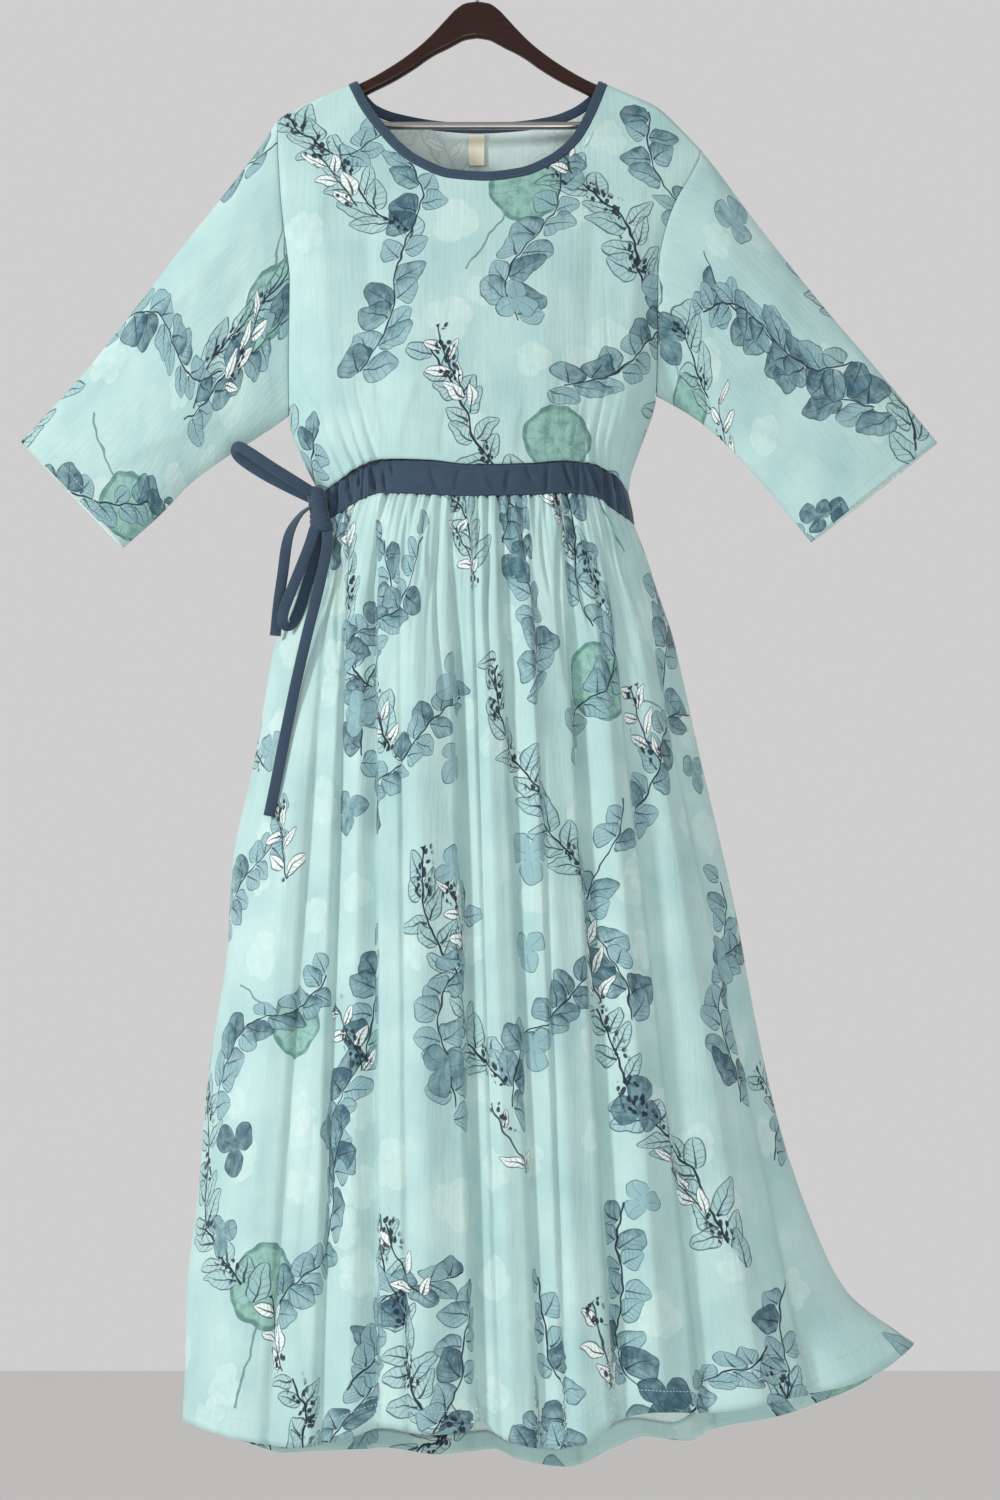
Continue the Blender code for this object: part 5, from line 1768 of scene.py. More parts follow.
@dataclass
class Hanger:
    """The shaped wooden hanger, its steel bar and its wire hook."""

    thickness: float = 12.0
    rounding: float = 5.0
    corner_points: int = 8
    bar_radius: float = 4.0
    bar_drop: float = 191.0
    bar_half: float = 181.0
    bar_middle: float = 60.0
    chamfer: float = 0.5
    hook_wire: float = 4.0
    hook_bend: float = 22.0
    hook_arc: Span = (-52.0, 205.0)
    hook_points: int = 48
    stations: int = 150
    stem: tuple[Place, ...] = table_of(
        Place, (0, 73.7), (0, 66), (0, 58), (0, 52), (1.4, 46.6), (5.2, 42.6), (10, 39.9),
    )
    arm: tuple[ArmSection, ...] = table_of(
        ArmSection, (0, 59.5, 98), (12, 61.5, 100), (22, 68, 105), (30, 76.5, 109.5), (41, 89, 115),
        (52, 100.5, 122), (62, 109.5, 129.5), (84, 126, 143.5), (110, 141.8, 157), (132, 152.2, 168),
        (154, 162.2, 182), (172, 171, 195), (182, 176, 200), (188, 180, 201), (192.5, 186, 196),
    )

    def body_rings(self) -> Array:
        """Rounded upright sections through the body, from end to end.

        Returns:
            Points by ring and by place round it.
        """
        last = self.arm[-1].across
        out = last * np.sin(np.linspace(0, math.pi / 2, self.stations))
        rings = []
        for across in np.concatenate([-out[:0:-1], out]):
            top = float(smooth(self.arm, "across", "top", abs(across)))
            bottom = float(smooth(self.arm, "across", "bottom", abs(across)))
            half, middle, high = self.thickness / 2, (top + bottom) / 2, (bottom - top) / 2
            rounding = min(self.rounding, high * 0.9)
            ring = []
            for quarter, (y_sign, z_sign) in enumerate(((1, 1), (-1, 1), (-1, -1), (1, -1))):
                for angle in np.radians(90 * quarter + np.linspace(0, 90, self.corner_points)):
                    y = y_sign * (half - rounding) + rounding * math.cos(angle)
                    z = -middle + z_sign * (high - rounding) + rounding * math.sin(angle)
                    ring.append((across, y, z))
            rings.append(ring)
        return np.array(rings)

    def hook_line(self) -> Array:
        """The wire's centre line: a stem, a short reverse bend and an open circle.

        Returns:
            The line's points.
        """
        middle = -(self.hook_bend - self.hook_wire / 2)
        points = [(place.across, -place.drop) for place in self.stem]
        for angle in np.radians(np.linspace(*self.hook_arc, self.hook_points)):
            points.append((self.hook_bend * math.cos(angle), middle + self.hook_bend * math.sin(angle)))
        return np.array([(x, 0.0, z) for x, z in points])

    def hook_rings(self, around: int = 24) -> Array:
        """Round sections along the wire, with a rounded free end.

        Args:
            around: Points on each ring.

        Returns:
            Points by ring and by place round it.
        """
        line = self.hook_line()
        run = unit(np.gradient(line, axis=0))
        out = np.stack([-run[:, 2], 0 * run[:, 0], run[:, 0]], axis=1)
        angle = turns(around)
        sizes = [(0, 0.0, 0.55), (0, 0.8, 0.9)] + [(i, 0.0, 1.0) for i in range(1, len(line) - 1)]
        sizes += [(len(line) - 1, -0.8, 0.86), (len(line) - 1, 0.0, 0.45)]
        rings = []
        for i, shift, size in sizes:
            radius = self.hook_wire / 2 * size
            side = np.cos(angle)[:, None] * out[i] + np.sin(angle)[:, None] * np.array([0.0, 1.0, 0.0])
            rings.append(line[i] + shift * run[i] + radius * side)
        return np.array(rings)

    def bar_rings(self, around: int = 48) -> Array:
        """Round sections of the bar, with chamfered ends.

        Args:
            around: Points on each ring.

        Returns:
            Points by ring and by place round it.
        """
        end, flat, middle = self.bar_half, self.bar_half - self.chamfer, self.bar_middle
        thick, thin = self.bar_radius, self.bar_radius - self.chamfer
        stations = (
            (-end, thin), (-flat, thick), (-middle, thick), (middle, thick), (flat, thick), (end, thin),
        )
        angle = turns(around)
        rings = []
        for x, radius in stations:
            y, z = radius * np.cos(angle), radius * np.sin(angle) - self.bar_drop
            rings.append(np.stack([np.full_like(y, x), y, z], axis=1))
        return np.array(rings)


@dataclass
class Stitcher:
    """Rows of machine stitches along lines on the cloth, made with geometry nodes."""

    thread: float = 0.55
    stitch: float = 2.6
    pitch: float = 3.6
    shortest: float = 0.85
    longest: float = 1.12
    seed: int = 7

    def tree(self) -> NodeTree:
        """The node group that lays stitches along a line.

        Returns:
            The group.
        """
        tree = bpy.data.node_groups.new("stitch_row", "GeometryNodeTree")
        for name, kind in (
            ("Geometry", "Geometry"), ("Pitch", "Float"), ("Stitch", "Float"), ("Thread", "Float"),
            ("Material", "Material"),
        ):
            tree.interface.new_socket(name, in_out="INPUT", socket_type=f"NodeSocket{kind}")
        tree.interface.new_socket("Geometry", in_out="OUTPUT", socket_type="NodeSocketGeometry")
        new = tree.nodes.new
        given, result = new("NodeGroupInput"), new("NodeGroupOutput")
        curve, spaced = new("GeometryNodeMeshToCurve"), new("GeometryNodeResampleCurve")
        tangent, turn = new("GeometryNodeInputTangent"), new("FunctionNodeAlignRotationToVector")
        uneven, long = new("FunctionNodeRandomValue"), new("ShaderNodeMath")
        bead, size = new("GeometryNodeMeshUVSphere"), new("ShaderNodeCombineXYZ")
        drawn, real = new("GeometryNodeInstanceOnPoints"), new("GeometryNodeRealizeInstances")
        coat = new("GeometryNodeSetMaterial")
        spaced.mode = "LENGTH"
        turn.axis = "X"
        uneven.data_type = "FLOAT"
        long.operation = "MULTIPLY"
        for node, slot, value in (
            (uneven, 2, self.shortest), (uneven, 3, self.longest), (uneven, "Seed", self.seed),
            (bead, "Segments", 6), (bead, "Rings", 4), (bead, "Radius", 0.5),
        ):
            node.inputs[slot].default_value = value
        for source, output, target, slot in (
            (given, "Geometry", curve, 0), (curve, 0, spaced, "Curve"), (given, "Pitch", spaced, "Length"),
            (spaced, 0, drawn, "Points"), (bead, "Mesh", drawn, "Instance"), (tangent, 0, turn, "Vector"),
            (turn, 0, drawn, "Rotation"), (given, "Stitch", long, 0), (uneven, 1, long, 1),
            (long, 0, size, 0), (given, "Thread", size, 1), (given, "Thread", size, 2),
            (size, 0, drawn, "Scale"), (drawn, 0, real, 0), (real, 0, coat, "Geometry"),
            (given, "Material", coat, "Material"), (coat, 0, result, 0),
        ):
            tree.links.new(source.outputs[output], target.inputs[slot])
        return tree

    def sew(self, name: str, lines: Sequence[Array], material: Material) -> Object:
        """Sews rows of stitches.

        Args:
            name: The piece's name.
            lines: Lines of points in millimetres, on the cloth's face.
            material: The thread's material.

        Returns:
            The stitches as one plain mesh.
        """
        mesh, points, edges = bpy.data.meshes.new(name), [], []
        for line in lines:
            edges += [(len(points) + i, len(points) + i + 1) for i in range(len(line) - 1)]
            points += (line * MM).tolist()
        mesh.from_pydata(points, edges, [])
        row = link(bpy.data.objects.new(name, mesh))
        nodes = row.modifiers.new("stitches", "NODES")
        nodes.node_group = self.tree()
        values = {"Pitch": self.pitch * MM, "Stitch": self.stitch * MM, "Thread": self.thread * MM}
        values["Material"] = material
        for socket in nodes.node_group.interface.items_tree:
            if socket.in_out == "INPUT" and socket.name in values:
                nodes[socket.identifier] = values[socket.name]
        row = applied(row)
        row.data.shade_smooth()
        return row


def socket_name(field_name: str) -> str:
    """What a group's input is called for a field."""
    return field_name.replace("_", " ").title()


def shader_group(
    name: str, numbers: Sequence[str], results: Sequence[str]
) -> tuple[ShaderSketch, NodeSocket, list[Signal]]:
    """A new shader group with a vector and numbers as inputs.

    Args:
        name: The group's name.
        numbers: The fields that its number inputs are called for.
        results: Names of its outputs. One called Color is a colour, and the others are numbers.

    Returns:
        A sketch of the group's tree, its vector and its numbers.
    """
    tree = bpy.data.node_groups.new(name, "ShaderNodeTree")
    names = [socket_name(number) for number in numbers]
    sockets = [("Vector", "INPUT", "Vector"), *((number, "INPUT", "Float") for number in names)]
    sockets += [(result, "OUTPUT", "Color" if result == "Color" else "Float") for result in results]
    for label, way, kind in sockets:
        tree.interface.new_socket(label, in_out=way, socket_type=f"NodeSocket{kind}")
    given = tree.nodes.new("NodeGroupInput").outputs
    tree.nodes.new("NodeGroupOutput")
    return ShaderSketch(tree), given["Vector"], [Signal(tree, given[number]) for number in names]


def finished_group(sketch: ShaderSketch, **results: object) -> NodeTree:
    """The group's tree, its results linked to its outputs.

    Args:
        sketch: The tree's sketch.
        results: Its outputs by name.

    Returns:
        The group.
    """
    ends = sketch.tree.nodes["Group Output"].inputs
    for name, value in results.items():
        plug(sketch.tree, value, ends[name])
    return sketch.tree


def use_group(
    sketch: ShaderSketch, group: NodeTree, vector: object, numbers: NamedTuple | None = None
) -> dict[str, Signal]:
    """Puts a group in a tree.

    Args:
        sketch: The tree's sketch.
        group: The group.
        vector: What its vector input reads.
        numbers: Values for its number inputs.

    Returns:
        The group's outputs by name.
    """
    made = sketch.tree.nodes.new("ShaderNodeGroup")
    made.node_tree = group
    plug(sketch.tree, vector, made.inputs["Vector"])
    for name, value in (numbers._asdict() if numbers else {}).items():
        made.inputs[socket_name(name)].default_value = value
    return {output.name: Signal(sketch.tree, output) for output in made.outputs}


def chance(sketch: ShaderSketch, x: Signal, y: Signal, z: Signal) -> tuple[Signal, ...]:
    """Four random numbers for a cell of the pattern.

    Args:
        sketch: The tree's sketch.
        x: First number of the cell.
        y: Its second number.
        z: Its third number.

    Returns:
        Four numbers from 0 to 1.
    """
    made = sketch.tree.nodes.new("ShaderNodeTexWhiteNoise")
    made.noise_dimensions = "3D"
    plug(sketch.tree, sketch.node("CombineXYZ", X=x, Y=y, Z=z), made.inputs["Vector"])
    split = sketch.tree.nodes.new("ShaderNodeSeparateColor")
    sketch.tree.links.new(made.outputs["Color"], split.inputs[0])
    channels = tuple(Signal(sketch.tree, output) for output in split.outputs)
    return (Signal(sketch.tree, made.outputs["Value"]), *channels)


class Vine(NamedTuple):
    """One kind of spray, in millimetres, with its leaves' angle in radians and its growing share."""

    pitch: float
    shift: float
    spacing: float
    length: float
    width: float
    angle: float
    sway: float
    stretch: float
    share: float
    seed: float
    pen: float
    twist: float = 0


class Rosette(NamedTuple):
    """One kind of lobed round shape, in millimetres, with the share of cells that hold one."""

    cell_width: float
    cell_height: float
    shift: float
    radius: float
    lobes: float
    depth: float
    power: float
    veins: float
    presence: float
    seed: float


class Grain(NamedTuple):
    """The cotton's streaks across and down a metre of cloth, and its weave."""

    across: float
    down: float
    weave: float


def vine_group() -> NodeTree:
    """Upright stems with leaves on alternate sides, in stretches with open ground between them.

    Returns:
        The group.
    """
    results = ("Fill", "Line", "Tone", "Stem", "Near", "Half", "Core")
    sketch, vector, numbers = shader_group("leafy_vine", Vine._fields, results)
    given = Vine(*numbers)
    u, v = sketch.parts(vector)
    across = u / given.pitch + given.shift
    stem_no = across.math("FLOOR")
    luck = chance(sketch, stem_no, given.seed, given.seed * 1.7)
    sway = (v * 0.017 + luck[0] * 19.0).math("SINE") + (v * 0.043 + luck[1] * 23.0).math("SINE") * 0.35
    x = (across - stem_no - 0.5) * given.pitch - sway * given.sway - (luck[2] - 0.5) * 24.0
    hand, out = x.math("SIGN"), x.math("ABSOLUTE")
    pair = given.spacing * 2.0
    twist = given.twist * 0.37
    climb = v / pair + hand * 0.25 + luck[3] + twist
    step = climb.math("FLOOR")
    y = (climb - step - 0.5) * pair
    # Each leaf's own luck, and whether its stem grows there
    leaf = chance(sketch, stem_no * 2.0 + hand + given.twist * 31.0, step, given.seed + 3.0)
    part, stretch_drawn = vine_stretch(sketch, given, stem_no, (step + 0.5 - twist) * pair, luck[1])
    present = part.math("LESS_THAN", given.share) * stretch_drawn * leaf[3].math("LESS_THAN", 0.9)
    taper = 1.05 - part * 0.45
    length = given.length * (leaf[0] * 0.34 + 0.78) * taper
    width = given.width * (leaf[1] * 0.3 + 0.82) * taper
    angle = given.angle + (leaf[2] - 0.5) * 0.7
    cosine, sine = angle.math("COSINE"), angle.math("SINE")
    dx, dy = out - 2.0, y + length * sine * 0.5
    along, off = dx * cosine + dy * sine, dy * cosine - dx * sine
    # The leaf's outline, its rim, its rib and its veins
    t = along / length
    off = off - (t * t) * length * (leaf[2] - 0.5) * 0.3
    swell = (t * (1.0 - t) * 4.0).math("MAXIMUM", 0.0).math("POWER", 0.58) * (1.3 - t * 0.62)
    size = off.math("ABSOLUTE")
    edge = size - width * swell * 0.5
    shown_here = present * t.math("GREATER_THAN", 0.0) * t.math("LESS_THAN", 1.0)
    fill = edge.below(0.0, 0.5) * shown_here
    rim = edge.inside(given.pen * 0.5, 0.35) * shown_here
    rib = (size - (1.1 - t) * given.pen * 0.8).below(0.0, 0.4) * fill
    vein = ((along - size * 0.8) / (length * 0.19)).math("FRACT") - 0.5
    veins = (vein.math("ABSOLUTE") * length * 0.19).below(given.pen * 0.36, 0.35) * (t * -1.0 + 1.15) * fill
    # The stem, in the same stretches as its leaves
    place, drawn = vine_stretch(sketch, given, stem_no, v + luck[3] * pair, luck[1])
    grows = place.math("LESS_THAN", given.share) * drawn
    return finished_group(
        sketch, Fill=fill, Line=(rim * 0.85).math("MAXIMUM", rib).math("MAXIMUM", veins * 0.75), Tone=leaf[1],
        Stem=out.below(given.pen * 0.8, 0.4) * grows, Near=out.below(11.0, 3.0) * grows, Half=off / width,
        Core=(edge * -0.2).math("MINIMUM", 1.0),
    )


def vine_stretch(
    sketch: ShaderSketch, given: Vine, stem_no: Signal, down: Signal, start: Signal
) -> tuple[Signal, Signal]:
    """How far along its stretch a place on a stem is, from 0 to 1, and whether that stretch is drawn.

    Args:
        sketch: The tree's sketch.
        given: The vine's numbers.
        stem_no: The stem's number.
        down: How far down the stem it is.
        start: The stem's own random start.

    Returns:
        The part of the stretch, and 1 if it is drawn.
    """
    here = down / given.stretch + start * 5.0
    luck = chance(sketch, stem_no, here.math("FLOOR"), given.seed + 9.0)
    return here.math("FRACT"), luck[0].math("LESS_THAN", 0.82)


def rosette_group() -> NodeTree:
    """Lobed round shapes scattered in cells: blossoms, three-leaf sprigs, pads and clusters.

    Returns:
        The group.
    """
    results = ("Fill", "Line", "Tone", "Reach", "Turn", "Present")
    sketch, vector, numbers = shader_group("rosette", Rosette._fields, results)
    given = Rosette(*numbers)
    u, v = sketch.parts(vector)
    across = u / given.cell_width + given.shift
    column_no = across.math("FLOOR")
    climb = v / given.cell_height + chance(sketch, column_no, given.seed, given.seed)[0]
    row_no = climb.math("FLOOR")
    luck = chance(sketch, column_no, row_no, given.seed + 0.5)
    extra = chance(sketch, row_no, column_no, given.seed + 4.5)
    x = (across - column_no - 0.5 - (luck[1] - 0.5) * 0.34) * given.cell_width
    y = (climb - row_no - 0.5 - (luck[2] - 0.5) * 0.2) * given.cell_height
    radius = given.radius * (luck[3] * 0.4 + 0.78)
    reach = (x * x + y * y).math("SQRT")
    turn = y.math("ARCTAN2", x) + extra[0] * 6.283
    lobe = (turn * given.lobes * 0.5).math("COSINE").math("ABSOLUTE").math("POWER", given.power)
    edge = reach - radius * (1.0 - given.depth * (1.0 - lobe))
    present = luck[0].math("LESS_THAN", given.presence)
    fill = edge.below(0.0, 0.5) * present
    rim = edge.inside(0.4, 0.3) * present
    ray = (turn * given.veins).math("SINE").math("ABSOLUTE") * reach
    rays = (ray / given.veins).below(0.28, 0.3) * reach.above(radius * 0.2, 1.0) * fill
    return finished_group(
        sketch, Fill=fill, Line=rim.math("MAXIMUM", rays * 0.6), Tone=extra[1], Reach=reach / radius,
        Turn=turn, Present=present,
    )


def grain_group() -> NodeTree:
    """The grain of washed cotton, as a tone and a height: streaks down the cloth, and a fine weave.

    Returns:
        The group.
    """
    sketch, vector, numbers = shader_group("cotton_grain", Grain._fields, ("Tone", "Height"))
    given = Grain(*numbers)
    u, v = sketch.parts(vector)
    streaks = sketch.noise(sketch.pair(u * given.across, v * given.down), 1.0, 3.0)
    weave = sketch.noise(sketch.pair(u * given.weave, v * given.weave), 1.0, 1.0)
    return finished_group(sketch, Tone=streaks, Height=streaks * 0.75 + weave * 0.25)


@dataclass(frozen=True)
class PrintedCotton:
    """Pale crinkled cotton with a painted pattern of leaves, blossoms, berries and round pads."""

    ground: Colour = shade(186, 214, 211)
    ground_deep: Colour = shade(163, 198, 197)
    ghost: Colour = shade(205, 226, 219)
    leaf: Colour = shade(136, 173, 179)
    leaf_dark: Colour = shade(52, 88, 104)
    leaf_pale: Colour = shade(150, 186, 190)
    ink: Colour = shade(26, 42, 54)
    blossom: Colour = shade(238, 247, 244)
    pad: Colour = shade(138, 182, 170)
    pad_dark: Colour = shade(76, 120, 114)
    wrong: Colour = shade(228, 242, 238)
    wrong_share: float = 0.72
    bend: float = 9.0
    lean: float = -0.5
    steep: float = 0.72
    blossom_ghosts: Rosette = Rosette(92, 74, 0.31, 20, 5, 0.4, 0.5, 4, 0.34, 3)
    leaf_ghosts: Rosette = Rosette(78, 104, 0.7, 23, 3, 0.34, 0.45, 3, 0.34, 23)
    pads: Rosette = Rosette(290, 270, 0.2, 37, 2, 0.03, 1, 9, 0.62, 12)
    sprigs: Rosette = Rosette(158, 96, 0.1, 25, 3, 0.74, 0.6, 3, 0.22, 4)
    inked: Vine = Vine(212, 0.62, 24, 38, 20, 0.75, 19, 380, 0.7, 5, 1.35)
    upright: Vine = Vine(148, 0.1, 24, 33, 28, 0.5, 27, 390, 0.56, 2, 1.0)
    slanted: Vine = Vine(172, 0.16, 21, 29, 25, 0.6, 27, 360, 0.5, 9, 1.0)
    petals: Vine = Vine(212, 0.58, 13, 26, 11, 0.85, 14, 230, 0.34, 14, 1.2)
    grain: Grain = Grain(260.0, 26.0, 900.0)

    def pattern(self) -> NodeTree:
        """The printed pattern as a group that turns a place on the cloth into a colour.

        Returns:
            The group.
        """
        vine, rosette = vine_group(), rosette_group()
        sketch, vector = shader_group("botanical_print", (), ("Color", "Wash"))[:2]
        place = sketch.vector("SCALE", vector, 1 / MM)
        wobble = sketch.vector("SUBTRACT", sketch.noise(place, 0.045, 1.0, "Color"), (0.5, 0.5, 0.5))
        place = sketch.vector("ADD", place, sketch.vector("SCALE", wobble, self.bend))
        wash = sketch.noise(place, 0.11, 3.0)
        tone = (sketch.noise(place, 0.014, 4.0) * 2.0 - 0.5).math("MULTIPLY", 1.0, clamp=True)
        colour = sketch.blend(tone, self.ground_deep, self.ground)
        for kind in (self.blossom_ghosts, self.leaf_ghosts):
            ghosts = use_group(sketch, rosette, place, kind)
            faint = ghosts["Fill"] * (0.05 + wash * 0.7) * (1.0 - ghosts["Line"] * 0.5)
            colour = sketch.blend(faint, colour, self.ghost)
        colour = self._pad(sketch, use_group(sketch, rosette, place, self.pads), wash, colour)
        leaning, steep = (
            sketch.node("VectorRotate", settings={"rotation_type": "Z_AXIS"}, Vector=place, Angle=angle)
            for angle in (self.lean, self.steep)
        )
        both_sides = (0, 1)
        for twist in both_sides:
            inked = use_group(sketch, vine, leaning, self.inked._replace(twist=twist))
            colour = sketch.blend(inked["Fill"] * (0.3 + inked["Tone"] * 0.5), colour, self.leaf_pale)
            colour = sketch.blend(inked["Line"].math("MAXIMUM", inked["Stem"]) * 0.9, colour, self.ink)
        for kind, where in ((self.upright, place), (self.slanted, steep)):
            for twist in both_sides:
                leaves = use_group(sketch, vine, where, kind._replace(twist=twist))
                colour = self._leaf(sketch, leaves, wash, colour)
        colour = self._leaf(sketch, use_group(sketch, rosette, place, self.sprigs), wash, colour)
        petals = use_group(sketch, vine, leaning, self.petals)
        colour = sketch.blend(petals["Fill"] * (0.6 + wash * 0.5), colour, self.blossom)
        colour = sketch.blend(petals["Line"].math("MAXIMUM", petals["Stem"]) * 0.92, colour, self.ink)
        u, v = sketch.parts(place)
        dots = sketch.node(
            "TexVoronoi", "Distance", {"voronoi_dimensions": "2D"}, Vector=sketch.pair(u * 0.17, v * 0.125),
            Scale=1.0, Randomness=0.9,
        )
        berry = sketch.number(dots).below(0.35, 0.06)
        bunch = sketch.noise(place, 0.024, 1.0).above(0.53, 0.015)
        beside = inked["Near"].math("MAXIMUM", petals["Near"])
        colour = sketch.blend(beside * bunch * berry * 0.95, colour, self.ink)
        return finished_group(sketch, Color=colour, Wash=wash)

    def _leaf(
        self, sketch: ShaderSketch, shape: dict[str, Signal], wash: Signal, under: NodeSocket
    ) -> NodeSocket:
        """A washed slate-blue leaf, deeper at its edge and on one half, with its veins.

        Args:
            sketch: The tree's sketch.
            shape: Outputs of its group.
            wash: The uneven wash of the paint.
            under: The colour underneath.

        Returns:
            The colour with the leaf on it.
        """
        painted = shape["Tone"] * 2.0 + wash * 0.9 - 1.25
        if "Half" in shape:
            painted = painted + shape["Half"] * 0.7 - shape["Core"] * 0.3
        body = sketch.blend(painted.math("MULTIPLY", 1.0, clamp=True), self.leaf, self.leaf_dark)
        colour = sketch.blend(shape["Fill"] * (0.6 + wash * 0.5), under, body)
        line = shape["Line"] if "Stem" not in shape else shape["Line"].math("MAXIMUM", shape["Stem"])
        return sketch.blend(line * 0.85, colour, self.ink)

    def _pad(
        self, sketch: ShaderSketch, shape: dict[str, Signal], wash: Signal, under: NodeSocket
    ) -> NodeSocket:
        """A round green pad on a thin stalk, mottled inside a darker rim, with fine rays.

        Args:
            sketch: The tree's sketch.
            shape: Outputs of its group.
            wash: The uneven wash of the paint.
            under: The colour underneath.

        Returns:
            The colour with the pad on it.
        """
        reach, turn = shape["Reach"], shape["Turn"]
        rim = reach.above(0.88, 0.04)
        mottled = (rim * 0.75 + wash * 1.9 - 0.8).math("MULTIPLY", 1.0, clamp=True)
        colour = sketch.blend(shape["Fill"] * 0.88, under, sketch.blend(mottled, self.pad, self.pad_dark))
        stalk = (turn.math("SINE").math("ABSOLUTE") * reach).below(0.03, 0.012)
        stalk = stalk * reach.above(1.0, 0.02) * reach.below(2.9, 0.02)
        stalk = stalk * turn.math("COSINE").below(0.0, 0.01) * shape["Present"]
        return sketch.blend(shape["Line"].math("MAXIMUM", stalk) * 0.75, colour, self.pad_dark)

    def materials(self) -> tuple[Material, Material]:
        """The cotton's right side, and the paler wrong side that was not printed.

        Returns:
            The right side and the wrong side.
        """
        pattern, grain = self.pattern(), grain_group()
        made = []
        for name, paler in (("printed_cotton", 0.0), ("printed_cotton_wrong_side", self.wrong_share)):
            material, sketch = new_finish(name)
            cloth = sketch.node("UVMap", settings={"uv_map": "cloth"})
            colour = use_group(sketch, pattern, cloth)["Color"]
            if paler:
                colour = sketch.blend(paler, colour, self.wrong)
            washed = use_group(sketch, grain, cloth, self.grain)
            sketch.surface(
                Base_Color=sketch.blend(washed["Tone"] * 0.16, colour, self.ground_deep, "MULTIPLY"),
                Normal=sketch.bump(washed["Height"], 0.5), Roughness=0.88, Sheen_Weight=0.18,
                Sheen_Roughness=0.5, Specular_IOR_Level=0.25,
            )
            made.append(material)
        return made[0], made[1]


def new_finish(name: str) -> tuple[Material, ShaderSketch]:
    """A new material and the sketch of its shader.

    Args:
        name: Its name.

    Returns:
        The material and its sketch.
    """
    made = bpy.data.materials.new(name)
    made.use_nodes = True
    return made, ShaderSketch(made.node_tree)


@dataclass(frozen=True)
class SlateCotton:
    """The dark slate-blue cotton of the casing, the binding and the tie."""

    colour: Colour = shade(56, 77, 96)
    deep: Colour = shade(40, 57, 74)
    threads: float = 700.0
    wear: float = 60.0

    def material(self) -> Material:
        """The cotton as a material.

        Returns:
            The material.
        """
        made, sketch = new_finish("slate_cotton")
        cloth = sketch.node("UVMap", settings={"uv_map": "cloth"})
        u, v = sketch.parts(cloth)
        weave = sketch.noise(sketch.pair(u * self.threads, v * self.threads), 1.0, 2.0)
        worn = sketch.noise(cloth, self.wear, 3.0)
        sketch.surface(
            Base_Color=sketch.blend(weave * 0.5 + worn * 0.5, self.deep, self.colour),
            Normal=sketch.bump(weave * 0.6 + worn * 0.6, 0.4), Roughness=0.85, Sheen_Weight=0.2,
            Specular_IOR_Level=0.3,
        )
        return made


@dataclass(frozen=True)
class StainedWood:
    """Dark brown wood with a satin varnish."""

    colour: Colour = shade(52, 25, 15)
    dark: Colour = shade(27, 11, 8)
    grain: Place3 = (14.0, 190.0, 190.0)

    def material(self) -> Material:
        """The wood as a material, its grain running along the arms.

        Returns:
            The material.
        """
        made, sketch = new_finish("stained_wood")
        grain = stretched_noise(sketch, self.grain, 4.0)
        sketch.surface(
            Base_Color=sketch.blend(grain, self.dark, self.colour), Roughness=grain * 0.15 + 0.24,
            Normal=sketch.bump(grain, 0.12, 0.0005), Specular_IOR_Level=0.22, Coat_Weight=0.16,
            Coat_Roughness=0.18,
        )
        return made


@dataclass(frozen=True)
class BrushedSteel:
    """Steel with fine scratches along the wire."""

    colour: Colour = (0.56, 0.54, 0.52, 1.0)
    dull: Colour = (0.2, 0.19, 0.18, 1.0)
    scratches: Place3 = (9.0, 900.0, 900.0)

    def material(self) -> Material:
        """The steel as a material.

        Returns:
            The material.
        """
        made, sketch = new_finish("brushed_steel")
        scratches = stretched_noise(sketch, self.scratches, 2.0)
        sketch.surface(
            Base_Color=sketch.blend(scratches, self.dull, self.colour), Roughness=scratches * 0.16 + 0.2,
            Metallic=1.0,
        )
        return made


def stretched_noise(sketch: ShaderSketch, scale: Place3, detail: float) -> Signal:
    """Noise in the piece's own place, with its own scale along each axis."""
    stretched = sketch.node("Mapping", Vector=sketch.node("TexCoord", "Object"), Scale=scale)
    return sketch.number(sketch.node("TexNoise", "Fac", Vector=stretched, Scale=1.0, Detail=detail))


@dataclass(frozen=True)
class Ribbon:
    """The bare cream ribbon of the label."""

    colour: Colour = shade(240, 237, 214)
    deep: Colour = shade(190, 184, 156)
    threads: float = 5200.0

    def material(self) -> Material:
        """The ribbon as a material, with a fine cross weave.

        Returns:
            The material.
        """
        made, sketch = new_finish("label_ribbon")
        u, v = sketch.parts(sketch.node("UVMap", settings={"uv_map": "cloth"}))
        weave = (v * self.threads).math("SINE") * (u * self.threads).math("SINE")
        sketch.surface(
            Base_Color=sketch.blend(weave * 0.12 + 0.12, self.colour, self.deep),
            Normal=sketch.bump(weave, 0.15), Roughness=0.6, Sheen_Weight=0.3,
        )
        return made


@dataclass(frozen=True)
class PlainFinish:
    """A finish of one colour."""

    name: str
    colour: Colour
    roughness: float = 0.8

    def material(self) -> Material:
        """The finish as a material.

        Returns:
            The material.
        """
        made, sketch = new_finish(self.name)
        sketch.surface(Base_Color=self.colour, Roughness=self.roughness)
        return made


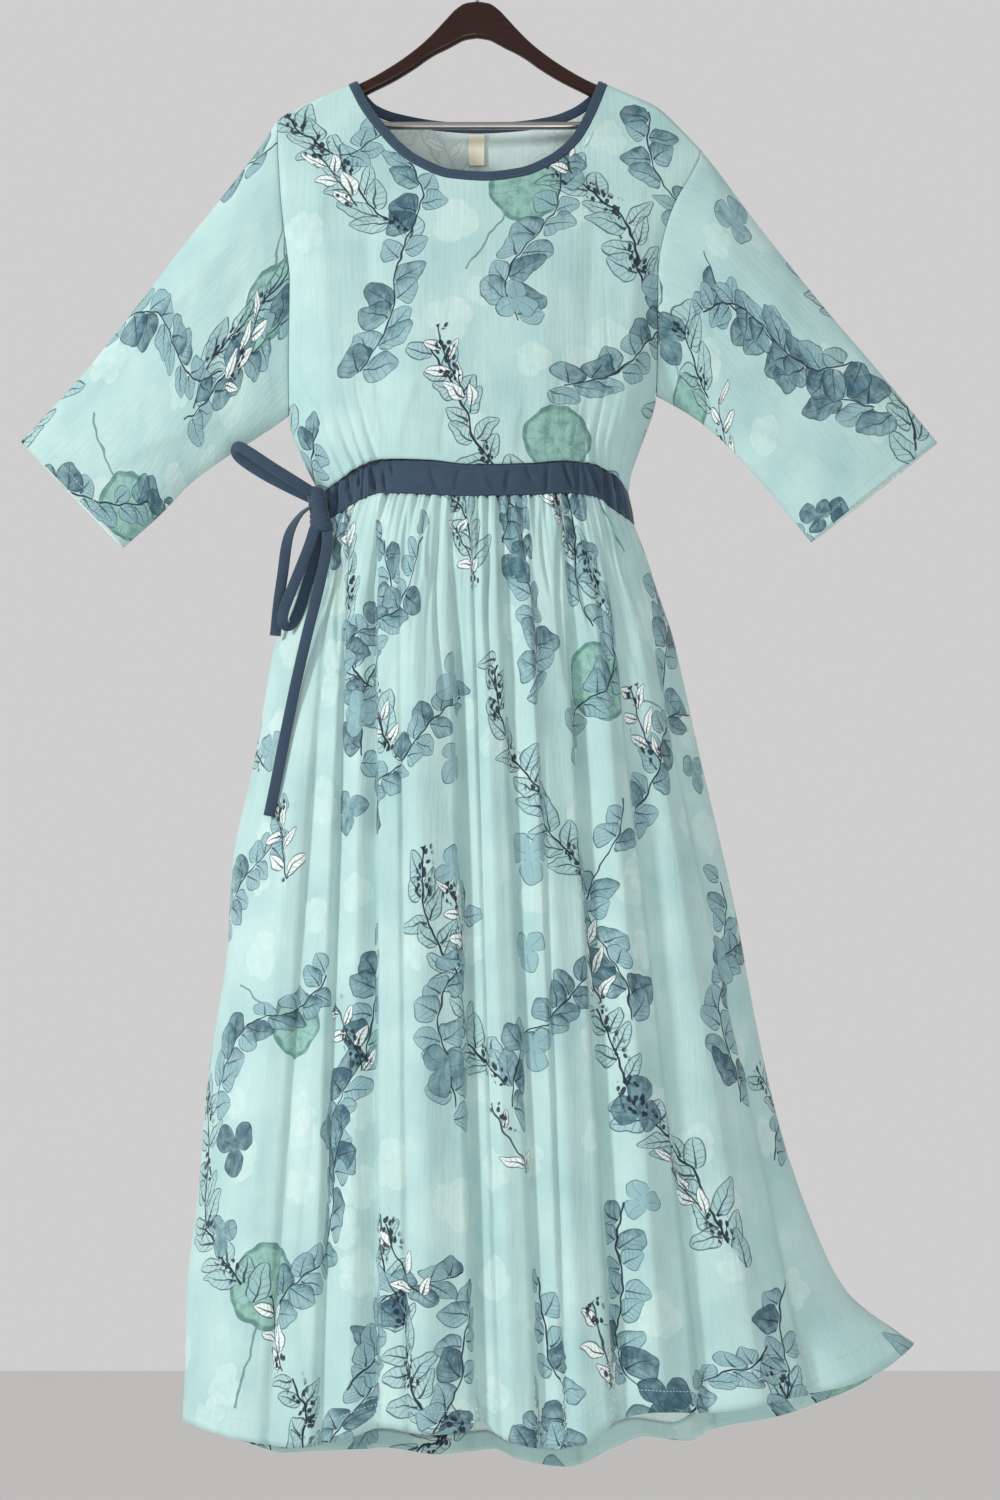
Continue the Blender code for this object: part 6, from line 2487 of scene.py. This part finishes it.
@dataclass(frozen=True)
class Studio:
    """The plain floor, the lights and the camera, in metres and degrees."""

    camera_place: Place3 = (0.0236, -3.2, -1.2279)
    camera_pitch: float = 97.0
    lens: float = 77.4
    floor_drop: float = 2.4
    floor_half: float = 14.0
    floor_colour: Colour = (0.78, 0.78, 0.77, 1.0)
    room_colour: Colour = (1.0, 0.985, 0.985, 1.0)
    room_light: float = 0.63

    def camera(self) -> None:
        """Puts the camera where the photograph was taken from."""
        data = bpy.data.cameras.new("camera")
        data.lens = self.lens
        camera = link(bpy.data.objects.new("camera", data))
        camera.location = self.camera_place
        camera.rotation_euler = (math.radians(self.camera_pitch), 0, 0)
        bpy.context.scene.camera = camera

    def floor(self) -> None:
        """A large pale floor well under the dress."""
        mesh = bpy.data.meshes.new("floor")
        half = self.floor_half
        around = ((-half, -half), (half, -half), (half, half), (-half, half))
        mesh.from_pydata([(x, y, -self.floor_drop) for x, y in around], [], [(0, 1, 2, 3)])
        mesh.materials.append(PlainFinish("floor", self.floor_colour, 0.7).material())
        link(bpy.data.objects.new("floor", mesh))

    def light(self, name: str, place: Place3, aim: Place3, size: float, power: float) -> None:
        """One soft square light, aimed at a place.

        Args:
            name: Its name.
            place: Where it stands.
            aim: Where it points.
            size: Its width in metres.
            power: Its power in watts.
        """
        data = bpy.data.lights.new(name, "AREA")
        data.size, data.energy = size, power
        lamp = link(bpy.data.objects.new(name, data))
        lamp.location = place
        lamp.rotation_euler = (Vector(aim) - Vector(place)).to_track_quat("-Z", "Y").to_euler()

    def lights(self) -> None:
        """A pale room, a soft light from the upper left and a weaker one from the right."""
        world = bpy.data.worlds.new("room")
        world.use_nodes = True
        background = world.node_tree.nodes["Background"]
        background.inputs["Color"].default_value = self.room_colour
        background.inputs["Strength"].default_value = self.room_light
        bpy.context.scene.world = world
        bpy.context.scene.view_settings.view_transform = "Standard"
        self.light("key", (-3.0, -1.7, 0.3), (0, 0, -0.75), 0.45, 84)
        self.light("fill", (0.7, -3.1, -1.65), (0, 0, -1.1), 1.4, 24)


def dress(piece: Object, slot: str, *nodes: str) -> Object:
    """Hands a finished piece to the frame.

    Args:
        piece: The piece.
        slot: The name of a material slot, which is not used.
        nodes: The solids it takes the place of.

    Returns:
        The piece.
    """
    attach(piece, "root")
    if nodes:
        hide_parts(*nodes)
    log.info("%s: %d faces", piece.name, len(piece.data.polygons))
    return piece


@dataclass(frozen=True)
class Cut:
    """How a panel was cut before it was sewn: its size in metres, its area and how it hangs."""

    width: float
    length: float
    area: float
    held: str
    rests_on: tuple[str, ...]

    def declare(self, piece: Object, extras: Sequence[Object] = ()) -> None:
        """Args:
            piece: The piece, which is not used.
            extras: Pieces sewn to it, which are not used.
        """


# Where each panel was cut from the printed cloth, in millimetres across and down
PRINT_SHIFTS = {
    "front": (0.0, 0.0),
    "back": (1310.0, 470.0),
    "left": (905.0, 540.0),
    "right": (1715.0, -130.0),
}

# Rows of a panel, counted from its ends, that carry a line of stitches
CASING_SEAMS = (1, -2)
HEM_SEAM = -4

CUTS = {
    "bodice_front": Cut(0.52, 0.45, 0.18, "hung", ("hanger_body",)),
    "bodice_back": Cut(0.52, 0.49, 0.2, "hung", ("hanger_body",)),
    "waist_casing_front": Cut(0.45, 0.036, 0.0162, "gathered", ("bodice_front",)),
    "waist_casing_back": Cut(0.5, 0.036, 0.018, "gathered", ("bodice_back",)),
    "skirt_front": Cut(0.88, 0.94, 0.7, "gathered", ("waist_casing_front",)),
    "skirt_back": Cut(0.88, 0.98, 0.74, "gathered", ("waist_casing_back",)),
    "sleeve_left": Cut(0.64, 0.31, 0.15, "hung", ("bodice_front",)),
    "sleeve_right": Cut(0.64, 0.31, 0.14, "hung", ("bodice_front",)),
    "neck_binding": Cut(0.0125, 0.66, 0.00825, "stretched", ("bodice_front",)),
    "neck_label": Cut(0.017, 0.032, 0.000544, "hung", ("bodice_back",)),
}


def cut_from_print(panel: tuple[Array, Array], word: str) -> tuple[Array, Array]:
    """A panel with its cloth map moved to where it was cut from the printed cloth."""
    return panel[0], panel[1] + PRINT_SHIFTS[word]


def dress_bow(slate: Material) -> None:
    """Builds the side tie: its loops, its tails and its knot.

    Args:
        slate: The tie's cotton.
    """
    bow = Bow()
    for name, strip in bow.strips.items():
        rings, path = strip.rings()
        piece = dress(rings_mesh(f"{name}_cloth", rings, slate), f"{name}_cotton", name)
        path = path * MM
        strip.width * MM
    dress(rings_mesh("tie_knot_cloth", bow.knot_rings(), slate), "knot_cotton", "tie_knot")


def main() -> None:
    """Builds the dressed part and hands each piece to the frame."""
    logging.basicConfig(level=logging.INFO, format="%(message)s")
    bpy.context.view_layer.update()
    form, studio = DressForm(), Studio()
    studio.camera()
    slate = SlateCotton().material()
    cloth, wrong = PrintedCotton().materials()
    dress_bow(slate)
    bodice, skirt, casing = Bodice(form), Skirt(form), Casing(form)
    seams, hems = [], []
    for side in Side:
        for name, maker, right, inner in (
            (f"bodice_{side.word}", bodice, cloth, wrong),
            (f"waist_casing_{side.word}", casing, slate, slate),
            (f"skirt_{side.word}", skirt, cloth, wrong),
        ):
            points, cloth_map = cut_from_print(maker.panel(side), side.word)
            slot = f"{name.removeprefix('waist_')}_cotton"
            piece = dress(Shell(f"{name}_cloth", points, cloth_map, right, inner).build(), slot, name)
            extras = []
            if maker is casing:
                seams += [seam_line(points, row) for row in CASING_SEAMS]
            if maker is skirt:
                hems.append(seam_line(points, HEM_SEAM))
                band = cut_from_print(skirt.band(side), side.word)
                hem = Shell(f"hem_band_{side.word}", *band, wrong, cloth, skirt.band_thickness).build()
                extras.append(dress(hem, slot))
            CUTS[name].declare(piece, extras)
    for hand in Hand:
        points, cloth_map = cut_from_print(Sleeve(form, hand).tube(), hand.word)
        name = f"sleeve_{hand.word}"
        shell = Shell(f"{name}_cloth", points, cloth_map, cloth, wrong, tube=True)
        hems.append(seam_line(points, HEM_SEAM))
        CUTS[name].declare(dress(shell.build(), f"{name}_cotton", name))
    binding, label = Binding(form), Label(form)
    piece = rings_mesh("neck_binding_cloth", binding.rings(), slate, closed=True)
    CUTS["neck_binding"].declare(dress(piece, "binding_cotton", "neck_binding"))
    seams.append(binding.stitch_line())
    ribbon = Ribbon().material()
    piece = Shell("label_ribbon", *label.panel(), ribbon, ribbon, label.thickness).build()
    CUTS["neck_label"].declare(dress(piece, "label_ribbon", "neck_label"))
    stitcher = Stitcher()
    for name, lines, thread in (
        ("stitching_slate", seams, PlainFinish("slate_thread", shade(84, 106, 124))),
        ("stitching_pale", hems, PlainFinish("pale_thread", shade(206, 226, 222))),
    ):
        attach(stitcher.sew(name, lines, thread.material()), "root")
    hanger, wood, steel = Hanger(), StainedWood().material(), BrushedSteel().material()
    dress(rings_mesh("hanger_wood", hanger.body_rings(), wood), "stained_wood", "hanger_body")
    dress(rings_mesh("steel_bar", hanger.bar_rings(), steel), "bar_steel", "trouser_bar")
    dress(rings_mesh("steel_hook", hanger.hook_rings(), steel), "hook_steel", "hanger_hook")
    studio.floor()
    studio.lights()


if __name__ == "__main__":
    main()
